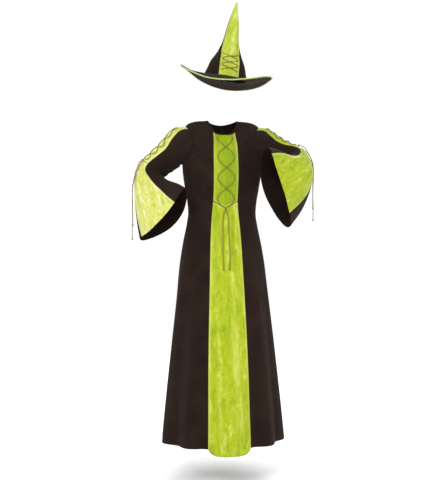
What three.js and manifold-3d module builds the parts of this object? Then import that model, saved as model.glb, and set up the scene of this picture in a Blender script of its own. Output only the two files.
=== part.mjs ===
// A witch costume as worn: a long dress with laced bell sleeves, and its pointed hat.
// Millimetres, +Z up, the front faces -Y, and the wearer's right is -X.
// The origin lies between the shoulders, where the wearer carries the dress.
import * as THREE from "three";
import { mergeVertices } from "three/addons/utils/BufferGeometryUtils.js";
import Module from "manifold-3d";

const wasm = await Module();
wasm.setup();

// Driving dimensions
const WALL = 2;
const SEAM = 0.3;
const FOLD_START = -430;
const HEM = -1395;
const NECK = 27;
const POINT_SEAM = -333;
const POINT_DROP = 31;
const PANEL_HEM_DROP = 28;
const BINDING_HEIGHT = 6;
const BINDING_THICK = 3;
const LACE = 3.6;
const LACED_SIDES = 6;
const FREE_SIDES = 8;
const LACE_GAP = 0.5;
const LACE_OVER = 0.8;
const LACE_BUMP = 1.6;
const LACE_TOP = -51;
const LACE_BOTTOM = -360;
const LACE_SWING = 36;
const LACE_PITCH = 91;
const KNOT = 6;
const KNOT_GAP = 0.4;
const KNOT_SIDES = 9;
const KNOT_ROWS = 5;
const KNOT_LEVEL = -368;
const BODICE_LACE_STEPS = 32;
const SLEEVE_LACE = { from: 1.5, to: 4.75, knot: 4.92, swing: 20, crossings: 4.4, steps: 29 };
const SLEEVE_LACE_GAP = 1.2;
const HAT_LACE = { top: 103, bottom: 22, swing: 34, crossings: 3, steps: 18 };
const HAT_PLACE = { x: 15, y: 0, z: 222, roll: 8.2, pitch: 3.7 };
const CROWN_HEIGHT = 341;
const CROWN_RADIUS = 99;
const CROWN_FRONT_COLUMNS = 10;
const CROWN_SIDE_COLUMNS = 10;
const BRIM_WALL = 2.5;
const BRIM_RADIUS = 205;
const BRIM_HOLE = 94;
const BRIM_COLUMNS = 40;
const BRIM_ROWS = 3;
const CROWN_LEAN = 0.7;
const CROWN_SEAT = BRIM_WALL / 2 + SEAM + CROWN_LEAN;
const BRIM_CURL = 1.3;
const PIPING = 3;
const PIPING_SIDES = 6;
const ARMHOLE_ROWS = 5;
const ARMHOLE_COLUMNS = 26;
const SLEEVES_END_ABOVE = -504;
const POINT_REACH = 120;
const HEM_ROUND_START = -1270;
const FOLD_GROWTH = 0.8;
const SHOULDER_TIP = 1.7;
const NECK_ROUND = 1.7;
const NECK_ROUND_FROM = -60;
const FREE_CORD_STEP = 3 * LACE;

const colour = (r, g, b) => new THREE.Color(r / 255, g / 255, b / 255);
const blackCloth = new THREE.MeshStandardMaterial({ color: colour(46, 37, 34), roughness: 0.85 });
const limeVelvet = new THREE.MeshStandardMaterial({ color: colour(184, 208, 40), roughness: 0.5 });
const laceCord = new THREE.MeshStandardMaterial({ color: colour(165, 140, 60), roughness: 0.7 });
const limePiping = new THREE.MeshStandardMaterial({ color: colour(190, 205, 110), roughness: 0.5 });

// Rings of the dress from neck to hem: half widths to the side, front and back, and the
// heights that each ring has at the front, at the sides and at the back
const DRESS_RINGS = [
  { level: NECK, side: 78, front: 72, back: 66, zFront: -40, zSide: 30, zBack: 12 },
  { level: 10, side: 116, front: 84, back: 78, zFront: -56, zSide: 27, zBack: -6 },
  { level: -15, side: 152, front: 95, back: 88, zFront: -74, zSide: 16, zBack: -35 },
  { level: -60, side: 174, front: 105, back: 97, zFront: -102, zSide: -22, zBack: -72 },
  { level: -100, side: 179, front: 112, back: 102, zFront: -128, zSide: -88, zBack: -108 },
  { level: -150, side: 180, front: 119, back: 105, zFront: -160, zSide: -150, zBack: -150 },
  { level: -215, side: 176, front: 125, back: 104, zFront: -216, zSide: -215, zBack: -215 },
  { level: -275, side: 167, front: 117, back: 98, zFront: -275, zSide: -275, zBack: -275 },
  { level: POINT_SEAM, side: 157, front: 104, back: 94, zFront: -333, zSide: -333, zBack: -333 },
  { level: -385, side: 153, front: 99, back: 95, zFront: -385, zSide: -385, zBack: -385 },
  { level: -441, side: 161, front: 106, back: 107, zFront: -441, zSide: -441, zBack: -441 },
  { level: -504, side: 174, front: 117, back: 121, zFront: -504, zSide: -504, zBack: -504 },
  { level: -590, side: 188, front: 132, back: 137, zFront: -590, zSide: -590, zBack: -590 },
  { level: -700, side: 200, front: 149, back: 154, zFront: -700, zSide: -700, zBack: -700 },
  { level: -830, side: 214, front: 168, back: 174, zFront: -830, zSide: -830, zBack: -830 },
  { level: -980, side: 230, front: 187, back: 193, zFront: -980, zSide: -980, zBack: -980 },
  { level: -1270, side: 259, front: 219, back: 223, zFront: -1270, zSide: -1270, zBack: -1270 },
  { level: HEM, side: 270, front: 231, back: 234, zFront: HEM, zSide: HEM, zBack: HEM },
];

// Half width of the lime centre panels, measured across the front
const CENTRE_PANEL = [
  { level: NECK, half: 50 },
  { level: -60, half: 54 },
  { level: -215, half: 56 },
  { level: POINT_SEAM, half: 56 },
  { level: -441, half: 65 },
  { level: -700, half: 78 },
  { level: -980, half: 89 },
  { level: HEM, half: 97 },
];

// The soft folds of the skirt: where each lies round it in degrees from the front, how far
// it stands out or dips in at the hem, how wide it spreads, and where it begins
const SKIRT_FOLDS = [
  { angle: 0, out: 7, spread: 11, top: -700 },
  { angle: 25, out: -13, spread: 7, top: -520 },
  { angle: 41, out: 13, spread: 9, top: -560 },
  { angle: 60, out: -13, spread: 8, top: -640 },
  { angle: 78, out: 12, spread: 9, top: -500 },
  { angle: 97, out: -14, spread: 8, top: -600 },
  { angle: 117, out: 15, spread: 10, top: -540 },
  { angle: 139, out: -13, spread: 9, top: -660 },
  { angle: 160, out: 12, spread: 9, top: -520 },
  { angle: 181, out: -12, spread: 8, top: -600 },
  { angle: 203, out: 14, spread: 10, top: -560 },
  { angle: 224, out: -13, spread: 8, top: -620 },
  { angle: 245, out: 13, spread: 9, top: -520 },
  { angle: 265, out: -13, spread: 8, top: -680 },
  { angle: 284, out: 12, spread: 9, top: -540 },
  { angle: 303, out: -13, spread: 8, top: -600 },
  { angle: 320, out: 12, spread: 8, top: -560 },
  { angle: 335, out: -11, spread: 6, top: -520 },
];

// Rings of each sleeve from inside the shoulder to the cuff. inner is the ring's point on
// the side of the armpit and the crook of the arm, outer is its point on the side of the
// shoulder and elbow, width is its other axis, and face is the way its front side looks.
// stripFront and stripBack say where the lime piece begins and ends, in turns from inner
// through the front. swell moves the middle of the ring along the sleeve.
const SLEEVES = {
  right: [
    {
      name: "inside", inner: [-112, 4, -158], outer: [-108, 4, -16], width: 140,
      face: [0, -1, 0], stripFront: 0.41, stripBack: 0.59, swell: 0,
    },
    {
      name: "armhole", inner: [-187, 5, -168], outer: [-170, 7, 4], width: 148,
      face: [-0.05, -1, 0], stripFront: 0.4, stripBack: 0.585, swell: 0,
    },
    {
      name: "cap", inner: [-188, 9, -173], outer: [-225, 22, -14], width: 142,
      face: [-0.1, -0.99, 0.05], stripFront: 0.34, stripBack: 0.53, swell: 0,
    },
    {
      name: "upper", inner: [-194, 17, -177], outer: [-273, 46, -67], width: 130,
      face: [-0.2, -0.97, 0.1], stripFront: 0.295, stripBack: 0.485, swell: 0,
    },
    {
      name: "mid", inner: [-221, 31, -193], outer: [-315, 70, -112], width: 120,
      face: [-0.3, -0.94, 0.15], stripFront: 0.29, stripBack: 0.48, swell: 0,
    },
    {
      name: "low", inner: [-246, 41, -209], outer: [-352, 90, -150], width: 116,
      face: [-0.35, -0.92, 0.2], stripFront: 0.285, stripBack: 0.475, swell: 0,
    },
    {
      name: "elbow", inner: [-258, 36, -219], outer: [-376, 93, -188], width: 118,
      face: [-0.39, -0.88, 0.25], stripFront: 0.255, stripBack: 0.47, swell: 4,
    },
    {
      name: "below", inner: [-256, 15, -229], outer: [-386, 71, -251], width: 130,
      face: [-0.39, -0.87, 0.3], stripFront: 0.21, stripBack: 0.465, swell: 10,
    },
    {
      name: "fore", inner: [-238, -28, -243], outer: [-384, 35, -347], width: 145,
      face: [-0.47, -0.85, 0.25], stripFront: 0.166, stripBack: 0.455, swell: 24,
    },
    {
      name: "late", inner: [-208, -83, -257], outer: [-377, -1, -433], width: 158,
      face: [-0.47, -0.88, 0.1], stripFront: 0.152, stripBack: 0.44, swell: 42,
    },
    {
      name: "cuff", inner: [-180, -139, -280], outer: [-369, -37, -500], width: 168,
      face: [-0.44, -0.89, 0.1], stripFront: 0.144, stripBack: 0.425, swell: 58,
    },
  ],
  left: [
    {
      name: "inside", inner: [112, -4, -158], outer: [108, -4, -16], width: 140,
      face: [0, -1, 0], stripFront: 0.41, stripBack: 0.59, swell: 0,
    },
    {
      name: "armhole", inner: [187, -5, -168], outer: [172, -3, 4], width: 148,
      face: [-0.02, -1, 0], stripFront: 0.4, stripBack: 0.585, swell: 0,
    },
    {
      name: "cap", inner: [188, -10, -173], outer: [213, -2, -8], width: 142,
      face: [0, -1, 0.1], stripFront: 0.35, stripBack: 0.54, swell: 0,
    },
    {
      name: "upper", inner: [193, -16, -177], outer: [250, -6, -36], width: 130,
      face: [0.05, -0.97, 0.25], stripFront: 0.32, stripBack: 0.51, swell: 0,
    },
    {
      name: "mid", inner: [215, -30, -180], outer: [292, -10, -63], width: 120,
      face: [0.11, -0.93, 0.35], stripFront: 0.32, stripBack: 0.51, swell: 0,
    },
    {
      name: "low", inner: [240, -48, -172], outer: [349, -10, -92], width: 116,
      face: [0.17, -0.85, 0.5], stripFront: 0.33, stripBack: 0.52, swell: 0,
    },
    {
      name: "elbow", inner: [252, -76, -157], outer: [383, -17, -126], width: 118,
      face: [0.23, -0.77, 0.6], stripFront: 0.27, stripBack: 0.505, swell: 2,
    },
    {
      name: "below", inner: [249, -115, -142], outer: [398, -40, -192], width: 130,
      face: [0.4, -0.79, 0.46], stripFront: 0.173, stripBack: 0.48, swell: 6,
    },
    {
      name: "fore", inner: [228, -153, -124], outer: [385, -76, -266], width: 145,
      face: [0.48, -0.85, 0.2], stripFront: 0.09, stripBack: 0.42, swell: 16,
    },
    {
      name: "late", inner: [192, -192, -109], outer: [339, -120, -362], width: 158,
      face: [0.36, -0.93, 0.05], stripFront: 0.085, stripBack: 0.375, swell: 28,
    },
    {
      name: "cuff", inner: [157, -232, -107], outer: [274, -155, -445], width: 168,
      face: [0.29, -0.96, 0], stripFront: 0.085, stripBack: 0.35, swell: 38,
    },
  ],
};
const ARMHOLE_RING = 1;
const ELBOW_SEAM = 5;
const CUFF_RING = 10;
const SLEEVE_ROWS = 6;
const STRIP_COLUMNS = 6;
const GODET_COLUMNS = 8;
const FRONT_COLUMNS = 11;
const BACK_COLUMNS = 7;
const TURN_START = -0.25;

// Soft waves round the bell of a sleeve: place in turns, height at the cuff, spread in turns
const BELL_FOLDS = [
  { turn: 0.14, out: -5, spread: 0.04 },
  { turn: 0.27, out: 8, spread: 0.06 },
  { turn: 0.42, out: -6, spread: 0.04 },
  { turn: 0.55, out: 8, spread: 0.05 },
  { turn: 0.68, out: -7, spread: 0.05 },
  { turn: 0.82, out: 7, spread: 0.06 },
];

// The hat's crown from base to tip: radius, and the half angle that the lime front covers
const CROWN_RINGS = [
  { up: 0, radius: CROWN_RADIUS, lime: 28 },
  { up: 30, radius: 89, lime: 31 },
  { up: 66, radius: 77, lime: 36 },
  { up: 97, radius: 61, lime: 44 },
  { up: 146, radius: 41, lime: 68 },
  { up: 175, radius: 35, lime: 76 },
  { up: 219, radius: 29, lime: 79 },
  { up: 273, radius: 19, lime: 80 },
  { up: CROWN_HEIGHT, radius: 3.4, lime: 80 },
];

// The height of the soft brim's edge round the hat, in degrees from the front: the sides
// curl up, the front and back droop
const BRIM_EDGE = [
  { angle: -99, up: 33 },
  { angle: -57, up: -8 },
  { angle: -30, up: -32 },
  { angle: -3, up: -29 },
  { angle: 20, up: -9 },
  { angle: 48, up: 21 },
  { angle: 81, up: 33 },
  { angle: 100, up: 27 },
  { angle: 117, up: 9 },
  { angle: 140, up: -11 },
  { angle: 170, up: -22 },
  { angle: 205, up: -2 },
  { angle: 227, up: 23 },
  { angle: 261, up: 33 },
];

// The hanging ends of the laces, from the knot that each leaves, as points along its middle
const LACE_ENDS = {
  bodice_lace_end_right: [
    [-2.4, -105.2, -374.4], [-7, -104, -386], [-10, -103.5, -400], [-12, -105, -415], [-13, -107, -430],
    [-13.5, -109.5, -446], [-14, -112.5, -462], [-14.5, -115.5, -480], [-15, -118.5, -498],
    [-15.5, -122, -517], [-16, -125.5, -536], [-16, -129, -556], [-15.5, -132.5, -576],
    [-15, -135.5, -596], [-14.5, -138.5, -615], [-14.5, -141.5, -634],
  ],
  bodice_lace_end_left: [
    [2.5, -105.2, -374.3], [7.5, -104, -386], [10, -103.5, -400], [11, -105, -415], [11.5, -107, -430],
    [11.5, -110, -446], [12, -112.5, -462], [12.5, -115.5, -480], [13, -119, -498], [14, -122, -517],
    [15, -125.5, -536], [15.5, -129, -556], [15, -132.5, -576], [14, -135.5, -596], [13, -138.5, -615],
    [12.5, -141, -631],
  ],
  sleeve_right_lace_end_long: [
    [-358.3, 43.7, -147.9], [-368, 39, -154.5], [-372, 41, -162.5], [-375.5, 43.5, -171.5],
    [-378.5, 45.5, -180.5], [-382.5, 45, -190], [-386, 43.5, -200.5], [-388.5, 41.5, -213],
    [-392, 39, -227.5], [-395.5, 36.5, -244], [-399, 33.5, -261], [-400.5, 31.5, -280],
    [-401, 28, -301], [-401, 29, -326], [-400.5, 28.5, -350], [-400, 28, -375], [-400, 28, -400],
    [-399.5, 28.5, -425], [-400.5, 29, -450], [-401, 29, -475], [-400.5, 28.5, -500],
  ],
  sleeve_right_lace_end_short: [
    [-356, 38.7, -147.9], [-362.5, 33, -155.5], [-366.5, 32, -164], [-370, 32.5, -173],
    [-373.5, 34, -182.5], [-379, 32, -193], [-383.5, 30.5, -206], [-387.5, 28, -220.5],
    [-392, 25, -236], [-396, 22, -253.5], [-399.5, 19, -272], [-401, 18, -292], [-401, 18, -316],
    [-400, 14.5, -338], [-400, 18, -365], [-399.5, 18, -390], [-399, 17.5, -415], [-399, 17, -438],
  ],
  sleeve_left_lace_end_long: [
    [352, -34.5, -77.2], [365, -37, -80.5], [372, -40, -87], [377.5, -43.5, -95.5], [381, -46.5, -106],
    [387, -50.5, -115.5], [393, -54, -127.5], [397.5, -57, -142], [401.5, -59, -156.5],
    [404.5, -60, -173.5], [405.5, -60, -194], [405.5, -60, -216], [405, -60, -240], [404.5, -60, -265],
    [404.5, -59.5, -290], [405, -59, -315], [406, -59, -340], [406.5, -59, -365], [406, -59, -390],
    [405.5, -59, -415],
  ],
  sleeve_left_lace_end_short: [
    [350.5, -39, -77.4], [362, -47.5, -82], [369.5, -53.5, -89.5], [375.5, -57.5, -99],
    [380, -61.5, -109], [385.5, -65.5, -118.5], [390.5, -68.5, -130], [395.5, -71.5, -143.5],
    [400, -74, -157.5], [402.5, -75, -175], [404, -75, -195], [404, -75.5, -217], [403, -75, -242],
    [402, -74, -266], [401.5, -73.5, -290], [401, -73, -314], [401, -73, -338], [401, -73, -362],
  ],
};

const radians = THREE.MathUtils.degToRad;
const vector = (x, y, z) => new THREE.Vector3(x, y, z);

// A smooth reading of one column of a table along another, straight beyond its ends
function curveOf(rows, along, column) {
  const x = rows.map((row) => row[along]);
  const y = rows.map((row) => row[column]);
  const turn = x[0] > x[x.length - 1] ? -1 : 1;
  const secant = x.slice(1).map((_, i) => (y[i + 1] - y[i]) / (x[i + 1] - x[i]));
  const slope = x.map((_, i) => {
    if (i === 0) return secant[0];
    if (i === secant.length) return secant[i - 1];
    const before = Math.abs(x[i] - x[i - 1]);
    const after = Math.abs(x[i + 1] - x[i]);
    return (secant[i - 1] * after + secant[i] * before) / (before + after);
  });
  return (at) => {
    if ((at - x[0]) * turn <= 0) return y[0] + slope[0] * (at - x[0]);
    const last = x.length - 1;
    if ((at - x[last]) * turn >= 0) return y[last] + slope[last] * (at - x[last]);
    let i = 0;
    while ((at - x[i + 1]) * turn > 0) i += 1;
    const run = x[i + 1] - x[i];
    const t = (at - x[i]) / run;
    const square = t * t;
    const cube = square * t;
    return (
      y[i] * (2 * cube - 3 * square + 1) +
      slope[i] * run * (cube - 2 * square + t) +
      y[i + 1] * (3 * square - 2 * cube) +
      slope[i + 1] * run * (cube - square)
    );
  };
}

const smooth = (from, to, at) => THREE.MathUtils.smoothstep((at - from) / (to - from), 0, 1);
const mix = THREE.MathUtils.lerp;

// Distance between two places on a circle of the given length, the short way round
function apart(a, b, round) {
  const d = Math.abs(a - b) % round;
  return Math.min(d, round - d);
}

// Meshes and solids

// Closes a grid of outer points and the grid of inner points behind it into one wall
function wallGeometry(outer, inner) {
  const rows = outer.length;
  const columns = outer[0].length;
  const points = [...outer.flat(), ...inner.flat()];
  const at = (side, i, j) => side * rows * columns + i * columns + j;
  const faces = [];
  const quad = (a, b, c, d) => faces.push(a, b, c, a, c, d);
  for (let i = 0; i + 1 < rows; i += 1) {
    for (let j = 0; j + 1 < columns; j += 1) {
      quad(at(0, i, j), at(0, i + 1, j), at(0, i + 1, j + 1), at(0, i, j + 1));
      quad(at(1, i, j), at(1, i, j + 1), at(1, i + 1, j + 1), at(1, i + 1, j));
    }
    quad(at(0, i, 0), at(1, i, 0), at(1, i + 1, 0), at(0, i + 1, 0));
    const end = columns - 1;
    quad(at(0, i, end), at(0, i + 1, end), at(1, i + 1, end), at(1, i, end));
  }
  for (let j = 0; j + 1 < columns; j += 1) {
    quad(at(0, 0, j), at(0, 0, j + 1), at(1, 0, j + 1), at(1, 0, j));
    const end = rows - 1;
    quad(at(0, end, j), at(1, end, j), at(1, end, j + 1), at(0, end, j + 1));
  }
  return facingOut(points, faces);
}

// Closes rings of points into a solid, with a flat fan at each end
function filledGeometry(rings) {
  const count = rings[0].length;
  const points = rings.flat();
  const faces = [];
  for (let i = 0; i + 1 < rings.length; i += 1) {
    for (let j = 0; j < count; j += 1) {
      const next = (j + 1) % count;
      const a = i * count + j;
      const b = i * count + next;
      faces.push(a, a + count, b + count, a, b + count, b);
    }
  }
  for (const [ring, first] of [[0, true], [rings.length - 1, false]]) {
    const middle = points.length;
    const centre = vector(0, 0, 0);
    rings[ring].forEach((p) => centre.addScaledVector(p, 1 / count));
    points.push(centre);
    for (let j = 0; j < count; j += 1) {
      const a = ring * count + j;
      const b = ring * count + ((j + 1) % count);
      if (first) faces.push(middle, a, b);
      else faces.push(middle, b, a);
    }
  }
  return facingOut(points, faces);
}

// Closes rings of a cord or binding that comes back to its start
function hoopGeometry(rings) {
  const count = rings[0].length;
  const faces = [];
  rings.forEach((_, i) => {
    const beside = ((i + 1) % rings.length) * count;
    for (let j = 0; j < count; j += 1) {
      const next = (j + 1) % count;
      const a = i * count + j;
      const b = i * count + next;
      faces.push(a, beside + j, beside + next, a, beside + next, b);
    }
  });
  return facingOut(rings.flat(), faces);
}

// Indexed geometry whose faces point outwards, whichever way the grid ran
function facingOut(points, faces) {
  let volume = 0;
  for (let i = 0; i < faces.length; i += 3) {
    const [a, b, c] = [points[faces[i]], points[faces[i + 1]], points[faces[i + 2]]];
    volume += a.dot(vector(0, 0, 0).crossVectors(b, c));
  }
  if (volume < 0) {
    for (let i = 0; i < faces.length; i += 3) [faces[i], faces[i + 1]] = [faces[i + 1], faces[i]];
  }
  const geometry = new THREE.BufferGeometry();
  const numbers = points.flatMap((p) => [p.x, p.y, p.z]);
  geometry.setAttribute("position", new THREE.Float32BufferAttribute(numbers, 3));
  geometry.setIndex(faces);
  return geometry;
}

function solidOf(geometry) {
  const bare = geometry.clone();
  bare.deleteAttribute("normal");
  bare.deleteAttribute("uv");
  const merged = mergeVertices(bare, 1e-3);
  const vertProperties = new Float32Array(merged.getAttribute("position").array);
  const triVerts = new Uint32Array(merged.getIndex().array);
  return new wasm.Manifold(new wasm.Mesh({ numProp: 3, vertProperties, triVerts }));
}

function geometryOf(solid) {
  const mesh = solid.getMesh();
  const geometry = new THREE.BufferGeometry();
  const position = new THREE.Float32BufferAttribute(mesh.vertProperties, 3);
  geometry.setAttribute("position", position);
  geometry.setIndex([...mesh.triVerts]);
  return geometry;
}

function cut(geometry, ...tools) {
  return geometryOf(tools.reduce((left, tool) => left.subtract(tool), solidOf(geometry)));
}

function meshOf(name, geometry, material) {
  const mesh = new THREE.Mesh(geometry, material);
  mesh.name = name;
  return mesh;
}

// The outward direction of a surface given by two parameters, from nearby points
function normalOf(surface, u, v, stepU, stepV, side) {
  const across = surface(u + stepU, v).sub(surface(u - stepU, v));
  const down = surface(u, v + stepV).sub(surface(u, v - stepV));
  return across.cross(down).normalize().multiplyScalar(side);
}

// The place on a grid's own facets at a share across and a row counted from the first
function onGrid(grid, across, row) {
  const i = THREE.MathUtils.clamp(Math.floor(row), 0, grid.length - 2);
  const columns = grid[0].length - 1;
  const j = THREE.MathUtils.clamp(Math.floor(across * columns), 0, columns - 1);
  const down = row - i;
  const aside = across * columns - j;
  const [a, b, c, d] = [grid[i][j], grid[i + 1][j], grid[i + 1][j + 1], grid[i][j + 1]];
  const point = a.clone();
  if (down > aside) {
    return point
      .addScaledVector(b.clone().sub(a), down)
      .addScaledVector(c.clone().sub(b), aside);
  }
  return point
    .addScaledVector(d.clone().sub(a), aside)
    .addScaledVector(c.clone().sub(d), down);
}

// The row, counted with its part, at which a falling or rising list reaches a value
function rowOf(values, value) {
  const rising = values[values.length - 1] > values[0];
  let i = 0;
  while (i < values.length - 2 && (rising ? values[i + 1] < value : values[i + 1] > value)) i += 1;
  return i + (value - values[i]) / (values[i + 1] - values[i]);
}

// The dress as one surface

const dressCurves = {};
for (const column of ["side", "front", "back", "zFront", "zSide", "zBack"]) {
  dressCurves[column] = curveOf(DRESS_RINGS, "level", column);
}
const centreHalf = curveOf(CENTRE_PANEL, "level", "half");

function skirtFold(angle, level) {
  const degrees = THREE.MathUtils.radToDeg(angle);
  let out = 0;
  for (const fold of SKIRT_FOLDS) {
    const off = apart(degrees, fold.angle, 360) / fold.spread;
    const grown = Math.max(0, (fold.top - level) / (fold.top - HEM));
    out += fold.out * Math.exp(-off * off) * grown ** FOLD_GROWTH;
  }
  return out;
}

// angle is 0 at the front and grows towards the wearer's left
function dressPoint(angle, level) {
  const sin = Math.sin(angle);
  const cos = Math.cos(angle);
  const facing = cos > 0 ? "front" : "back";
  const ends = dressCurves[cos > 0 ? "zFront" : "zBack"](level);
  const round = cos > 0 ? NECK_ROUND * smooth(NECK_ROUND_FROM, NECK, level) : 0;
  const tip = Math.abs(sin) ** (SHOULDER_TIP + round);
  const height = ends + (dressCurves.zSide(level) - ends) * tip;
  const fold = level < FOLD_START ? skirtFold(angle, level) : 0;
  return vector(
    (dressCurves.side(level) + fold) * sin,
    -(dressCurves[facing](level) + fold) * cos,
    height,
  );
}

const dressNormal = (angle, level) => normalOf(dressPoint, angle, level, 0.01, 2, 1);

const LEVELS = DRESS_RINGS.map((ring) => ring.level);
const SIDE_SEAM = Math.PI / 2;
const CENTRE_COLUMNS = 8;
const DRESS_SIDE_COLUMNS = 11;
const DRESS_BACK_COLUMNS = 12;

const panelEdge = (level) => Math.asin(centreHalf(level) / dressCurves.side(level));

// A grid of the dress between two seams; each seam is a function of the level
function dressGrid(from, to, columns, levels, lift, drop) {
  return levels.map((level) =>
    Array.from({ length: columns + 1 }, (_, j) => {
      const share = j / columns;
      const lowered = level - (drop ? drop(level, 2 * share - 1) : 0);
      const half = SEAM / 2 / dressCurves.front(level);
      const angle = mix(from(level) + half, to(level) - half, share);
      const point = dressPoint(angle, lowered);
      return point.addScaledVector(dressNormal(angle, lowered), lift);
    }),
  );
}

function dressPanel(from, to, columns, levels, drop) {
  const outer = dressGrid(from, to, columns, levels, 0, drop);
  const inner = dressGrid(from, to, columns, levels, -WALL, drop);
  return wallGeometry(outer, inner);
}

// How much lower a point of a lime centre panel lies than its row: the pointed seam at the
// waist, and the rounded hem
function centreDrop(level, across) {
  const near = Math.max(0, 1 - Math.abs(level - POINT_SEAM) / POINT_REACH);
  const pointed = POINT_DROP * near * near * (3 - 2 * near) * (1 - Math.abs(across));
  const hem = PANEL_HEM_DROP * smooth(HEM_ROUND_START, HEM, level) * (1 - Math.abs(across) ** 5);
  return pointed + hem;
}

function dressPanels(armholes) {
  const above = LEVELS.filter((level) => level >= POINT_SEAM);
  const below = LEVELS.filter((level) => level <= POINT_SEAM);
  const lastAbove = above.map((level) => (level === POINT_SEAM ? level + SEAM / 2 : level));
  const firstBelow = below.map((level) => (level === POINT_SEAM ? level - SEAM / 2 : level));
  const left = panelEdge;
  const right = (level) => -panelEdge(level);
  const side = () => SIDE_SEAM;
  const rightSide = () => -SIDE_SEAM;
  const back = () => Math.PI;
  const rightBack = () => -Math.PI;
  const bodice = dressPanel(right, left, CENTRE_COLUMNS, lastAbove, centreDrop);
  const skirt = dressPanel(right, left, CENTRE_COLUMNS, firstBelow, centreDrop);
  const frontLeft = dressPanel(left, side, DRESS_SIDE_COLUMNS, LEVELS);
  const frontRight = dressPanel(rightSide, right, DRESS_SIDE_COLUMNS, LEVELS);
  const backLeft = dressPanel(side, back, DRESS_BACK_COLUMNS, LEVELS);
  const backRight = dressPanel(rightBack, rightSide, DRESS_BACK_COLUMNS, LEVELS);
  return [
    meshOf("bodice_front_centre", bodice, limeVelvet),
    meshOf("skirt_front_centre", skirt, limeVelvet),
    meshOf("front_side_left", cut(frontLeft, armholes.left), blackCloth),
    meshOf("front_side_right", cut(frontRight, armholes.right), blackCloth),
    meshOf("back_left", cut(backLeft, armholes.left), blackCloth),
    meshOf("back_right", cut(backRight, armholes.right), blackCloth),
  ];
}

// The seams round the dress: where each panel begins and ends, and its number of columns
const ROUND = [
  { from: (level) => -panelEdge(level), to: panelEdge, columns: CENTRE_COLUMNS },
  { from: panelEdge, to: () => SIDE_SEAM, columns: DRESS_SIDE_COLUMNS },
  { from: () => SIDE_SEAM, to: () => Math.PI, columns: DRESS_BACK_COLUMNS },
  { from: () => -Math.PI, to: () => -SIDE_SEAM, columns: DRESS_BACK_COLUMNS },
  { from: () => -SIDE_SEAM, to: (level) => -panelEdge(level), columns: DRESS_SIDE_COLUMNS },
];

// The upper dress, filled, with a seam's gap round it: what the sleeves stop at
function dressFilled() {
  const levels = LEVELS.filter((level) => level >= SLEEVES_END_ABOVE);
  const grids = ROUND.map(({ from, to, columns }) => dressGrid(from, to, columns, levels, SEAM));
  const rings = levels.map((_, i) => grids.flatMap((grid) => grid[i]));
  return solidOf(filledGeometry(rings));
}

// The black binding stands on the neck edge, corner for corner with the panels below it
function neckBinding() {
  const face = (BINDING_THICK - WALL) / 2;
  const top = NECK + SEAM + BINDING_HEIGHT;
  const corners = [
    { level: NECK + SEAM, depth: face },
    { level: top, depth: face },
    { level: top, depth: face - BINDING_THICK },
    { level: NECK + SEAM, depth: face - BINDING_THICK },
  ];
  const angles = ROUND.flatMap(({ from, to, columns }) =>
    Array.from({ length: columns }, (_, j) => mix(from(NECK), to(NECK), j / columns)),
  );
  const rings = angles.map((angle) => {
    const out = dressNormal(angle, NECK);
    return corners.map(({ level, depth }) => dressPoint(angle, level).addScaledVector(out, depth));
  });
  return meshOf("neck_binding", hoopGeometry(rings), blackCloth);
}

// The sleeves

// One sleeve as a surface: turn runs from the armpit through the front and back again, and
// ring runs from the shoulder to the cuff
function sleeveSurface(rings) {
  const rows = rings.map((ring, index) => ({
    index,
    innerX: ring.inner[0], innerY: ring.inner[1], innerZ: ring.inner[2],
    outerX: ring.outer[0], outerY: ring.outer[1], outerZ: ring.outer[2],
    faceX: ring.face[0], faceY: ring.face[1], faceZ: ring.face[2],
    width: ring.width, swell: ring.swell,
    stripFront: ring.stripFront, stripBack: ring.stripBack,
  }));
  const read = {};
  for (const column of Object.keys(rows[0])) read[column] = curveOf(rows, "index", column);
  const place = (name, at) => vector(read[`${name}X`](at), read[`${name}Y`](at), read[`${name}Z`](at));
  const centre = (at) => place("inner", at).add(place("outer", at)).multiplyScalar(0.5);
  const point = (turn, ring) => {
    const round = turn * 2 * Math.PI;
    const middle = centre(ring);
    const arm = place("inner", ring).sub(middle);
    const face = place("face", ring).normalize();
    const along = centre(ring + 0.1).sub(centre(ring - 0.1)).normalize();
    const bell = smooth(ELBOW_SEAM, CUFF_RING, ring);
    let fold = 0;
    for (const wave of BELL_FOLDS) {
      const off = apart(turn, wave.turn, 1) / wave.spread;
      fold += wave.out * bell * Math.exp(-off * off);
    }
    const half = read.width(ring) / 2;
    return middle
      .addScaledVector(arm, Math.cos(round) * (1 + fold / arm.length()))
      .addScaledVector(face, Math.sin(round) * (half + fold))
      .addScaledVector(along, read.swell(ring) * Math.sin(round) ** 2);
  };
  const speed = (turn, ring) => point(turn + 0.01, ring).distanceTo(point(turn - 0.01, ring)) / 0.02;
  return { point, speed, stripFront: read.stripFront, stripBack: read.stripBack };
}

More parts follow.
